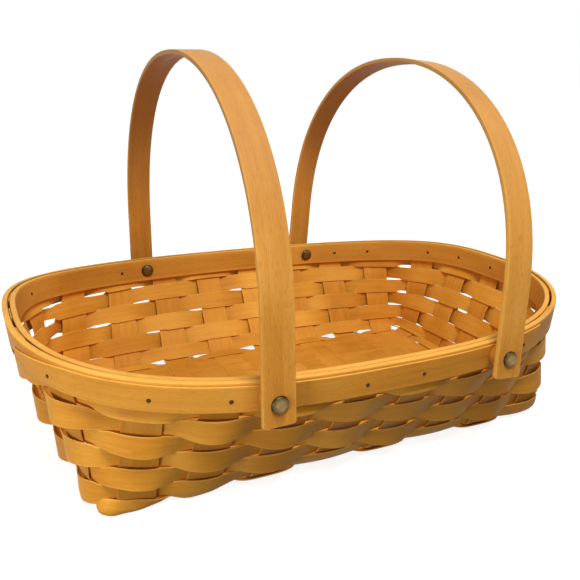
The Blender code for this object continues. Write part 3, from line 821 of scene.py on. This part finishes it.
def stake_bow(index, section, along):
    """A stake gives a little the other way from each weaver that crosses it."""
    if along > section.at_share(STAKE_BOW_TOP_SHARE):
        return 0.0
    total, weight = 0.0, 0.0
    for row in range(WEAVER_COUNT - 1):
        low, high = row_edges(row, section, index)
        near = max(0.0, 1 - abs(along - (low + high) / 2) / (high - low))
        total -= near * (-1) ** (row + index)
        weight += near
    return STAKE_BOW * total / max(weight, 1.0)


def wall_alongs(section, count):
    back_in_wall = STAKE_RETURN_SHARE * BASE_FILLET
    return [0.0, *np.linspace(back_in_wall, section.rim - STAKE_DROP, count)]


def stake_wall(index, flip):
    """Rows and normals up the wall at a stake, from the start of the base's round to the top."""
    middle = section_at(index)
    count = int(middle.rim / STAKE_STEP)
    base_shift, rim_shift = FIRST_STAKE_SHIFTS if index == 0 else (0.0, 0.0)
    rows = []
    alongs = wall_alongs(middle, count)
    for number, along in enumerate(alongs):
        share = along / alongs[-1]
        points, normals = [], []
        for distance in np.linspace(-STAKE_WIDTH / 2, STAKE_WIDTH / 2, 3):
            base_place = BASE_OUTLINE.beside(index, distance + base_shift)
            rim_place = RIM_OUTLINE.beside(index, distance + rim_shift)
            place = base_place + share * (rim_place - base_place)
            section = section_at(place)
            at = wall_alongs(section, count)[number]
            normal = wall_normal(place, at)
            points.append(section.point(at) + stake_bow(index, middle, along) * normal)
            normals.append(normal)
        rows.append((points[::-1], normals[::-1]) if flip else (points, normals))
    return rows


def tones_for(rng, count):
    """Tone along a strip, as slow seeded changes."""
    value = smooth_values(rng, STRIP_TONE_STEPS, STRIP_TONE_SPREAD)
    shift = rng.uniform(-STRIP_TONE_SHIFT, STRIP_TONE_SHIFT)
    return [0.5 + shift + value(STRIP_TONE_STEPS * number / count) for number in range(count)]


def stake_strip(name, node, rows, material, seed, **looks):
    tones = tones_for(np.random.default_rng(seed), len(rows))
    obj = splint(name, *zip(*rows), material, tones, **looks)
    dress(obj, "basket", "stake_splint", node)


def across_base(first_wall, last_wall, axis):
    """Stations between the feet of two walls: the share of the way and the place on an axis."""
    start, end = first_wall[0][0][1][axis], last_wall[0][0][1][axis]
    count = int(abs(end - start) / STAKE_STEP)
    return [(step / count, start + step / count * (end - start)) for step in range(1, count)]


def cross_stake(number, material):
    far = stake_wall(STAKE_COUNT - LONG_STAKE_COUNT - 1 - number, True)
    near = stake_wall(number, False)
    x = number * CROSS_STAKE_PITCH - OUTER_STAKE_X
    flat = []
    for share, y in across_base(far, near, 1):
        lift = STAKE_BOW * math.cos(2 * math.pi * y / LONG_STAKE_PITCH) * (-1) ** number
        z = base_height(x) + lift
        shift = share * FIRST_STAKE_SHIFTS[0] if number == 0 else 0.0
        points = [(x + shift + side, y, z) for side in (-STAKE_WIDTH / 2, 0.0, STAKE_WIDTH / 2)]
        flat.append((points, [(0.0, 0.0, -1.0)] * 3))
    stake_strip(
        f"upright_{number + 1}", f"cross_stake_{number + 1}", far[::-1] + flat + near, material,
        CROSS_SEED + number, dark=STAKE_PAINTED_SHADE,
    )


def base_wave(row, x):
    """How far under the cross stakes a lengthwise splint in the base is, from -1 to 1."""
    at = min(CROSS_STAKE_COUNT - 1, max(0.0, (x + OUTER_STAKE_X) / CROSS_STAKE_PITCH))
    wave = (-1) ** (row + 1) * math.cos(math.pi * at)
    return math.copysign(abs(wave) ** BASE_WAVE_POWER, wave)


def base_weave_height(row, x):
    wave = base_wave(row, x)
    return base_height(x) - (BASE_UNDER if wave > 0 else BASE_OVER) * wave


def lengthwise_row(row, x, y, width, share=1.0):
    """Points across a lengthwise splint of the base, and its normals, for a share of its wave.

    Its edges tuck over or under the next one's where the two are at different heights.
    """
    z = share * base_weave_height(row, x) + (1 - share) * BASE_MID_Z
    slope = (base_weave_height(row, x + GAP) - base_weave_height(row, x - GAP)) / (2 * GAP)
    shingle = BASE_SHINGLE * eased_between(abs(base_wave(row, x)), BASE_SHINGLE_RANGE)
    half = width / 2 + share * (FILLER_GAP / 2 + shingle)
    points = [(x, y + side, z) for side in (-half, 0.0, half)]
    return points, [(slope * share, 0.0, -1.0)] * 3


def long_stake(number, material):
    left = stake_wall(STAKE_COUNT - 1 - number, True)
    right = stake_wall(CROSS_STAKE_COUNT + number, False)
    y = number * LONG_STAKE_PITCH - OUTER_STAKE_Y
    flat = []
    for _, x in across_base(left, right, 0):
        share = eased((OUTER_STAKE_X + BASE_FLAT / 2 - abs(x)) / STAKE_END_MARGIN + 1)
        flat.append(lengthwise_row(2 * number, x, y, STAKE_WIDTH, share))
    stake_strip(
        f"lengthwise_upright_{number + 1}", f"long_stake_{number + 1}", left[::-1] + flat + right,
        material, LONG_SEED + number, dark=STAKE_PAINTED_SHADE,
    )


def base_filler(number, material):
    y = (number + 1 / 2) * LONG_STAKE_PITCH - OUTER_STAKE_Y
    end_x = OUTER_STAKE_X + FILLER_OVERRUN
    step = 2 * end_x / round(2 * end_x / STAKE_STEP)
    rows = [
        lengthwise_row(2 * number + 1, x, y, FILLER_WIDTH)
        for x in np.arange(-end_x, end_x + STAKE_STEP / 2, step)
    ]
    name, node = f"bottom_splint_{number + 1}", f"base_filler_{number + 1}"
    stake_strip(name, node, rows, material, FILLER_SEED + number)


# Rim


def band_row(place, outset, drop, height):
    """Middle points across a band and its normals; both bands' tops stay level."""
    section = section_at(place)
    top = section.rim + outset * math.tan(BAND_LEAN) - drop / math.cos(BAND_LEAN)
    normals = [wall_normal(place, top - height), wall_normal(place, top)]
    points = [section.point(a) + outset * n for a, n in zip((top - height, top), normals)]
    return points, normals


def band_strip(name, places, outset, thickness, edge, material, seed, shape, **looks):
    rows = [band_row(place, outset, *shape(place)) for place in places]
    value = smooth_values(np.random.default_rng(seed), STAKE_COUNT, BAND_TONE_SPREAD)
    tones = [0.5 + value(place) for place in places]
    return strip(name, *zip(*rows), thickness, edge, BAND_COLUMNS, material, tones, **looks)


def rim_band(name, node, side, dark, material, seed):

    def fuller_top(share, height):
        """Above the top weaver the bands close up on the stakes."""
        if height * side > 0:
            return 0.0
        return -side * BAND_TOP_EXTRA * eased(BAND_TOP_STEEPNESS * share)

    outset = side * (BAND_SPACE / 2 + BAND_THICKNESS - BAND_FULL / 2)
    obj = band_strip(
        name, ring_places(), outset, BAND_FULL, BAND_EDGE, material, seed,
        lambda place: (0.0, BAND_HEIGHT), closed=True, pad=fuller_top, dark=dark,
    )
    dress(obj, "basket", "band_wood", node)


def cover_shape(place):
    """How far the cover's top is below the rim's, and its height, which tapers at the start."""
    taper = (place - COVER_START_PLACE) / (COVER_TAPER_END_PLACE - COVER_START_PLACE)
    height = COVER_TIP_HEIGHT + min(1.0, taper) * (COVER_HEIGHT - COVER_TIP_HEIGHT)
    return COVER_DROP + (COVER_HEIGHT - height) / 2, height


def cover_band(material):
    around = [place - STAKE_COUNT for place in ring_places()] + ring_places()
    places = [place for place in around if COVER_START_PLACE < place < COVER_END_PLACE]
    obj = band_strip(
        "rim_cover", [COVER_START_PLACE, *places, COVER_END_PLACE], COVER_OUTSET, COVER_THICKNESS,
        COVER_EDGE, material, 5, cover_shape,
    )
    dress(obj, "basket", "band_wood", "cover_band")


def dome(radius, height, base, turns, power=1):
    """A profile from the middle of a round head out to its edge."""
    return [
        (radius * math.sin(turn), base + (height - base) * math.cos(turn) ** power)
        for turn in turns
    ]


def turned(name, profile, sides, material):
    """A shape turned about its own Z axis."""
    mesh_data = bmesh.new()
    rings = []
    for radius, level in profile:
        ring = []
        for side in range(sides if radius else 1):
            angle = 2 * math.pi * side / sides
            point = (radius * math.cos(angle), radius * math.sin(angle), level)
            ring.append(mesh_data.verts.new(point))
        rings.append(ring)
    for first, second in zip(rings, rings[1:]):
        for side in range(sides):
            after = (side + 1) % sides
            corners = [first[side % len(first)], first[after % len(first)]]
            corners += [second[after % len(second)], second[side % len(second)]]
            unique = list(dict.fromkeys(corners))
            if len(unique) > 2:
                mesh_data.faces.new(unique)
    return finished_mesh(name, mesh_data, material)


def tack(number, place, side, material):
    """A small domed head standing on a face of the rim."""
    along = section_at(place).rim - TACK_DEPTH
    turns = [0.0, *np.linspace(math.pi / 8, math.pi / 2, TACK_STEPS)]
    profile = dome(TACK_RADIUS, TACK_HEIGHT, 0.0, turns)
    profile.append((TACK_RADIUS, -TACK_HEIGHT))
    obj = turned(f"tack_{number + 1}", profile, TACK_SIDES, material)
    obj.location = wall_point(place, along, COVER_FACE if side > 0 else INNER_FACE)
    obj.rotation_mode = "QUATERNION"
    normal = Vector(side * wall_normal(place, along))
    obj.rotation_quaternion = normal.to_track_quat("Z", "Y")
    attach(obj, "basket")


# Handles, rivets and washers


def face_at_pivot(outset):
    """Where the line through a rivet meets a face of the rim, and that face's normal."""
    place, along = CROSS_STAKE_COUNT - 2.0, section_at(CROSS_STAKE_COUNT - 2.0).rim
    target = np.array([HANDLE_PIVOT_X, HANDLE_PIVOT_Z])
    side_share = 0.01
    for _ in range(2 * ARC_POINTS):
        here = wall_point(place, along, outset)[[0, 2]]
        step_place = (wall_point(place + side_share, along, outset)[[0, 2]] - here) / side_share
        step_along = (wall_point(place, along + SPLINT, outset)[[0, 2]] - here) / SPLINT
        change = np.linalg.solve(np.stack([step_place, step_along], axis=1), target - here)
        place += change[0]
        along += change[1]
    return wall_point(place, along, outset), wall_normal(place, along)


def handle_inner_y():
    face, _ = face_at_pivot(COVER_FACE)
    return -face[1] + GAP + WASHER_DEPTH + GAP


def arch_rows():
    """Side place, height and half-width of a handle, from one foot over the arch to the other."""
    middle_y = handle_inner_y() + HANDLE_THICKNESS / 2
    rise = HANDLE_APEX + HANDLE_THICKNESS / 2 - HANDLE_LEG
    half = HANDLE_WIDTH / 2
    leg = []
    for turn in np.linspace(0, math.pi / 2, FOOT_STATIONS):
        inset = HANDLE_FOOT_CORNER * (1 - math.sin(turn))
        lift = HANDLE_FOOT_CORNER * (1 - math.cos(turn))
        leg.append((middle_y, -HANDLE_FOOT + lift, half - inset))
    for z in np.linspace(-HANDLE_FOOT + HANDLE_FOOT_CORNER, HANDLE_LEG, LEG_STATIONS)[1:-1]:
        leg.append((middle_y, z, half))
    turns = np.linspace(0, math.pi, ARCH_STATIONS + 1)
    over = superellipse_points(turns, HANDLE_ROUNDNESS_SHARE, middle_y, rise)
    arch = [(y, HANDLE_LEG + z, half) for y, z in over]
    far_leg = [(-y, z, half_width) for y, z, half_width in reversed(leg)]
    return leg + arch + far_leg


def handle(name, node, body, side, material, seed):
    rows = arch_rows()
    runs = np.gradient(np.array([(y, z) for y, z, _ in rows]), axis=0)
    turn = Matrix.Rotation(HANDLE_LEANS[node], 3, "Y")
    pivot = Vector((side * HANDLE_PIVOT_X, 0.0, HANDLE_PIVOT_Z))
    points, normals = [], []
    for (y, z, half), run in zip(rows, runs):
        normal = turn @ Vector((0.0, run[1], -run[0])).normalized()
        points.append([turn @ Vector((x, y, z)) + pivot for x in (-half, 0.0, half)])
        normals.append([normal] * 3)
    tones = tones_for(np.random.default_rng(seed), len(points))
    # A duller, darker colour towards the top of the arch
    top_dulling_shares = [HANDLE_TOP_SHARE * eased_between(z, HANDLE_TOP_RANGE) for _, z, _ in rows]
    obj = strip(
        name, points, normals, HANDLE_THICKNESS, HANDLE_EDGE, BAND_COLUMNS, material, tones,
        top_dulling_shares=top_dulling_shares, dark=HANDLE_PAINTED_SHADE,
    )
    dress(obj, body, "handle_wood", node)


def rivet(name, node, side, front, material):
    """Domed heads outside the handle's foot and inside the rim, on one shank."""
    inner_face, normal = face_at_pivot(INNER_FACE)
    slant = math.hypot(normal[0], normal[2]) / abs(normal[1])
    outer_y = handle_inner_y() + HANDLE_THICKNESS + GAP
    inner_y = -inner_face[1] - slant * RIVET_HEAD_RADIUS - GAP
    flange, turns = STUD_FLANGE_SHARE * RIVET_HEAD_HEIGHT, np.linspace(0, math.pi / 2, CROWN_STEPS)
    head = dome(STUD_RADIUS, RIVET_HEAD_HEIGHT, flange, turns, STUD_CROWN_POWER)
    head += [(STUD_RADIUS, 0.0), (RIVET_SHANK_RADIUS, 0.0)]
    inner_head = [(radius, inner_y - outer_y - level) for radius, level in reversed(head)]
    obj = turned(name, head + inner_head, ROUND_SIDES, material)
    obj.location = (side * HANDLE_PIVOT_X, front * outer_y, HANDLE_PIVOT_Z)
    obj.rotation_euler = (-front * math.pi / 2, 0.0, 0.0)
    dress(obj, "basket", "antique_brass", node)


def washer(name, node, side, front, material):
    """A round wedge, flat against the handle and slanted against the rim."""
    face, normal = face_at_pivot(COVER_FACE if front < 0 else OUTER_FACE)
    outer_y = -handle_inner_y() + GAP
    mesh_data = bmesh.new()
    bmesh.ops.create_cone(
        mesh_data, cap_ends=True, segments=ROUND_SIDES, radius1=WASHER_RADIUS,
        radius2=WASHER_RADIUS, depth=WASHER_DEPTH,
    )
    for vert in mesh_data.verts:
        x, z = vert.co.x, vert.co.y
        slanted_y = face[1] - GAP - (normal[0] * x + normal[2] * z) / normal[1]
        y = outer_y if vert.co.z < 0 else slanted_y
        vert.co = Vector((side * x, -front * y, z))
    obj = finished_mesh(name, mesh_data, material, smooth=False)
    soft = obj.modifiers.new("soft_edge", "BEVEL")
    soft.width = WASHER_EDGE
    soft.segments = 2
    soft.limit_method = "ANGLE"
    obj.location = (side * HANDLE_PIVOT_X, 0.0, HANDLE_PIVOT_Z)
    dress(obj, "basket", "washer_wood", node)


# Materials


class Tree:
    """A small helper that adds and joins the nodes of a material or a world."""

    def __init__(self, owner):
        owner.use_nodes = True
        self.nodes = owner.node_tree.nodes
        self.links = owner.node_tree.links

    def feed(self, node, inputs):
        """Each input is given a value, or joined to another node's output."""
        for key, value in inputs.items():
            socket = node.inputs[key]
            if isinstance(value, bpy.types.NodeSocket):
                self.links.new(value, socket)
            elif socket.type == "RGBA":
                socket.default_value = (*value, 1.0)
            else:
                socket.default_value = value

    def add(self, kind, inputs, **settings):
        node = self.nodes.new(kind)
        for key, value in settings.items():
            setattr(node, key, value)
        self.feed(node, inputs)
        return node

    def math(self, operation, first, second):
        node = self.add("ShaderNodeMath", {0: first, 1: second}, operation=operation)
        return node.outputs[0]

    def total(self, *parts):
        """The sum of some outputs, each times its weight."""
        whole, *rest = [self.math("MULTIPLY", value, weight) for value, weight in parts]
        for part in rest:
            whole = self.math("ADD", whole, part)
        return whole

    def spread(self, value, ends, to_ends):
        inputs = {"Value": value, "From Min": ends[0], "From Max": ends[1]}
        inputs |= {"To Min": to_ends[0], "To Max": to_ends[1]}
        return self.add("ShaderNodeMapRange", inputs).outputs[0]

    def ramp(self, value, places, colours):
        node = self.add("ShaderNodeValToRGB", {"Fac": value})
        elements = node.color_ramp.elements
        while len(elements) < len(colours):
            elements.new(0.5)
        for element, place, colour in zip(elements, places, colours):
            element.position = place
            element.color = (*colour, 1.0)
        return node.outputs["Color"]

    def mix(self, share, first, second):
        inputs = {0: share, 6: first, 7: second}
        return self.add("ShaderNodeMix", inputs, data_type="RGBA").outputs[2]

    def mix_shaders(self, share, first, second):
        return self.add("ShaderNodeMixShader", {0: share, 1: first, 2: second}).outputs[0]

    def noises(self, vector, kinds, seed):
        """Noises over a surface's own coordinates, each stretched by its scales a metre."""
        for scales, detail in kinds:
            offset = tuple(seed * part for part in NOISE_OFFSET)
            stretch = {"Vector": vector, "Scale": (*scales, 1.0), "Location": offset}
            place = self.add("ShaderNodeMapping", stretch).outputs[0]
            texture = {"Vector": place, "Scale": 1.0, "Detail": detail, "Roughness": NOISE_ROUGH}
            yield self.add("ShaderNodeTexNoise", texture).outputs["Fac"]
            seed += 1

    def bump(self, height, size):
        inputs = {"Height": height, "Strength": size[0], "Distance": size[1]}
        return self.add("ShaderNodeBump", inputs).outputs[0]

    def seen_directly(self):
        """One where the camera, a reflection or a clear material looks at a surface."""
        path = self.add("ShaderNodeLightPath", {}).outputs
        seen = self.math("MAXIMUM", path["Is Camera Ray"], path["Is Glossy Ray"])
        return self.math("MAXIMUM", seen, path["Is Transmission Ray"])


def wood(name, seed, colours, fleck, worn_and_lit_edges, worn_and_lit_edge_colour, top_dulling_colour=None):
    """Splint wood: slow patches, long grain, fine pores, lighter edges (abrasion and painted
    highlight) and painted shade.
    """
    material = bpy.data.materials.new(name)
    tree = Tree(material)
    grain_map = tree.add("ShaderNodeUVMap", {}, uv_map="grain").outputs[0]
    looks = tree.add("ShaderNodeAttribute", {}, attribute_name="looks").outputs
    wear, tone, darkness = tree.add("ShaderNodeSeparateColor", {0: looks["Color"]}).outputs
    patches, figure, fibre, pores = tree.noises(grain_map, GRAIN, seed)
    body = tree.total(*zip((patches, figure, fibre), GRAIN_WEIGHTS), (tone, TONE_WEIGHT))
    colour = tree.ramp(body, STOP_PLACES, colours)
    # Lighter edges: partly real abrasion, partly painted highlight where edges catch the light
    edge = tree.math("MULTIPLY", wear, tree.spread(patches, NOISE_RANGE, worn_and_lit_edges))
    colour = tree.mix(edge, colour, worn_and_lit_edge_colour)
    flecked = tree.spread(pores, FLECK_RANGE, (0.0, fleck))
    colour = tree.mix(flecked, colour, tuple(FLECK_DARKNESS * part for part in colours[0]))
    # Painted shade: faces marked in the mesh darken towards the painted shade colour
    colour = tree.mix(darkness, colour, tree.mix(PAINTED_SHADE_DEPTH, colour, PAINTED_SHADE_COLOUR))
    # A duller, darker colour towards the top of a handle's arch
    if top_dulling_colour:
        colour = tree.mix(looks["Alpha"], colour, top_dulling_colour)
    height = tree.total((fibre, 1.0), (pores, PORE_HEIGHT))
    tree.feed(tree.nodes["Principled BSDF"], {
        "Base Color": colour,
        "Roughness": tree.spread(figure, NOISE_RANGE, WOOD_ROUGHNESS),
        "Specular IOR Level": WOOD_SHEEN,
        "Normal": tree.bump(height, WOOD_BUMP),
    })
    return material


def metal(name, seed, colours, roughness, crown=0.0):
    """Dark patinated metal; a head of this radius gets a lighter middle and a darker edge, partly
    polish from use and partly painted highlight and shade.
    """
    material = bpy.data.materials.new(name)
    tree = Tree(material)
    place = tree.add("ShaderNodeTexCoord", {}).outputs["Object"]
    cloud, fine = tree.noises(place, PATINA, seed)
    body = tree.total(*zip((cloud, fine), PATINA_WEIGHTS))
    colour = tree.ramp(body, METAL_STOP_PLACES, colours)
    # Painted highlight on the crown and painted shade at the edge, along with real polish and
    # patina
    if crown:
        level = {0: place, 1: (1.0, 1.0, 0.0)}
        flat = tree.add("ShaderNodeVectorMath", level, operation="MULTIPLY").outputs[0]
        reach = tree.add("ShaderNodeVectorMath", {0: flat}, operation="LENGTH").outputs["Value"]
        lit_and_rubbed_crown = tree.spread(reach, (LIT_RUBBED_CROWN_SHARE * crown, crown), (1.0, 0.0))
        patina_and_edge_shade = tuple(PATINA_AND_EDGE_SHADE_DARKNESS * part for part in colours[0])
        colour = tree.mix(lit_and_rubbed_crown, patina_and_edge_shade, colour)
    tree.feed(tree.nodes["Principled BSDF"], {
        "Base Color": colour,
        "Metallic": 1.0,
        "Roughness": tree.spread(cloud, NOISE_RANGE, roughness),
        "Normal": tree.bump(fine, METAL_BUMP),
    })
    return material


# Stage


def look_through_camera():
    data = bpy.data.cameras.new("photo_view")
    data.sensor_width = CAMERA_SENSOR
    data.lens = CAMERA_LENS
    data.shift_x, data.shift_y = CAMERA_SHIFT
    data.clip_start = 0.01
    camera = bpy.data.objects.new("photo_view", data)
    aim = Matrix.Rotation(-CAMERA_YAW, 4, "Z") @ Matrix.Rotation(CAMERA_TILT, 4, "X")
    aim @= Matrix.Rotation(CAMERA_ROLL, 4, "Z")
    camera.matrix_world = Matrix.Translation(CAMERA_PLACE) @ aim
    bpy.context.scene.collection.objects.link(camera)
    bpy.context.scene.camera = camera


def soft_lamp(name, place, size, power):
    """A rectangle of light that faces the middle of the basket."""
    data = bpy.data.lights.new(name, "AREA")
    data.shape = "RECTANGLE"
    data.size, data.size_y = size
    data.energy = power
    data.color = LAMP_COLOUR
    lamp = bpy.data.objects.new(name, data)
    lamp.location = place
    aim = Vector((0.0, 0.0, RIM_HEIGHT / 2)) - Vector(place)
    lamp.rotation_euler = aim.to_track_quat("-Z", "Y").to_euler()
    lamp.visible_camera = False
    bpy.context.scene.collection.objects.link(lamp)


def white_world():
    """A soft sky as a source of light, and plain white where it is seen."""
    world = bpy.data.worlds.new("studio")
    bpy.context.scene.world = world
    tree = Tree(world)
    sky = tree.nodes["Background"]
    tree.feed(sky, {"Color": SKY_COLOUR, "Strength": SKY_STRENGTH})
    white = tree.add("ShaderNodeBackground", {"Color": WHITE, "Strength": 1.0})
    shown = tree.mix_shaders(tree.seen_directly(), sky.outputs[0], white.outputs[0])
    tree.feed(tree.nodes["World Output"], {"Surface": shown})


def pale_floor():
    """White to the camera apart from the object's soft shadow, and quiet as a source of light."""
    mesh = bpy.data.meshes.new("floor")
    reach = FLOOR_REACH
    corners = [(-reach, -reach, 0), (reach, -reach, 0), (reach, reach, 0), (-reach, reach, 0)]
    mesh.from_pydata(corners, [], [(0, 1, 2, 3)])
    floor = bpy.data.objects.new("floor", mesh)
    bpy.context.scene.collection.objects.link(floor)
    material = bpy.data.materials.new("pale_floor")
    tree = Tree(material)
    quiet = tree.nodes["Principled BSDF"]
    tree.feed(quiet, {"Base Color": FLOOR_QUIET, "Roughness": 1.0, "Specular IOR Level": 0.0})
    shadowed = tree.add("ShaderNodeBsdfDiffuse", {"Color": FLOOR_SHADOWED})
    glow = tree.add("ShaderNodeEmission", {"Color": WHITE, "Strength": FLOOR_GLOW})
    pale = tree.add("ShaderNodeAddShader", {0: shadowed.outputs[0], 1: glow.outputs[0]})
    shown = tree.mix_shaders(tree.seen_directly(), quiet.outputs[0], pale.outputs[0])
    tree.feed(tree.nodes["Material Output"], {"Surface": shown})
    mesh.materials.append(material)


def main():
    brass = metal("antique_brass", 3, **BRASS)
    dark_steel = metal("dark_steel", 7, **DARK_STEEL)
    for name, build, count, kind, seed, step in (
        ("weaver", weaver, WEAVER_COUNT, WEAVER_WOOD, 1, 7),
        ("upright", cross_stake, CROSS_STAKE_COUNT, STAKE_WOOD, 60, 5),
        ("lengthwise", long_stake, LONG_STAKE_COUNT, STAKE_WOOD, 110, 5),
        ("bottom", base_filler, LONG_STAKE_COUNT - 1, STAKE_WOOD, 140, 5),
    ):
        for number in range(count):
            build(number, wood(f"{name}_wood_{number + 1}", seed + step * number, **kind))
    inner_wood = wood("inner_band_wood", 170, **BAND_WOOD)
    rim_band("rim_inside", "inner_band", -1, INNER_BAND_PAINTED_SHADE, inner_wood, 3)
    outer_wood = wood("outer_band_wood", 180, **BAND_WOOD)
    rim_band("rim_outside", "outer_band", 1, OUTER_BAND_PAINTED_SHADE, outer_wood, 4)
    cover_band(wood("cover_band_wood", 190, **BAND_WOOD))
    tacks = [(place, 1) for place in OUTER_TACK_PLACES]
    tacks += [(place, -1) for place in INNER_TACK_PLACES]
    for number, (place, side) in enumerate(tacks):
        tack(number, place, side, dark_steel)
    for name, side, seed in (("left", -1, 200), ("right", 1, 210)):
        material = wood(f"{name}_handle_wood", seed, **HANDLE_WOOD)
        handle(f"swing_handle_{name}", f"handle_{name}", f"{name}_handle", side, material, seed)
    washer_wood = wood("washer_wood", 220, **WASHER_WOOD)
    for end, side in (("left", -1), ("right", 1)):
        for face, front in (("front", -1), ("back", 1)):
            rivet(f"stud_{face}_{end}", f"rivet_{face}_{end}", side, front, brass)
            washer(f"spacer_{face}_{end}", f"washer_{face}_{end}", side, front, washer_wood)
    look_through_camera()
    white_world()
    pale_floor()
    soft_lamp("key", **KEY_LAMP)
    soft_lamp("side", **SIDE_LAMP)
    bpy.context.scene.view_settings.view_transform = "Standard"


main()
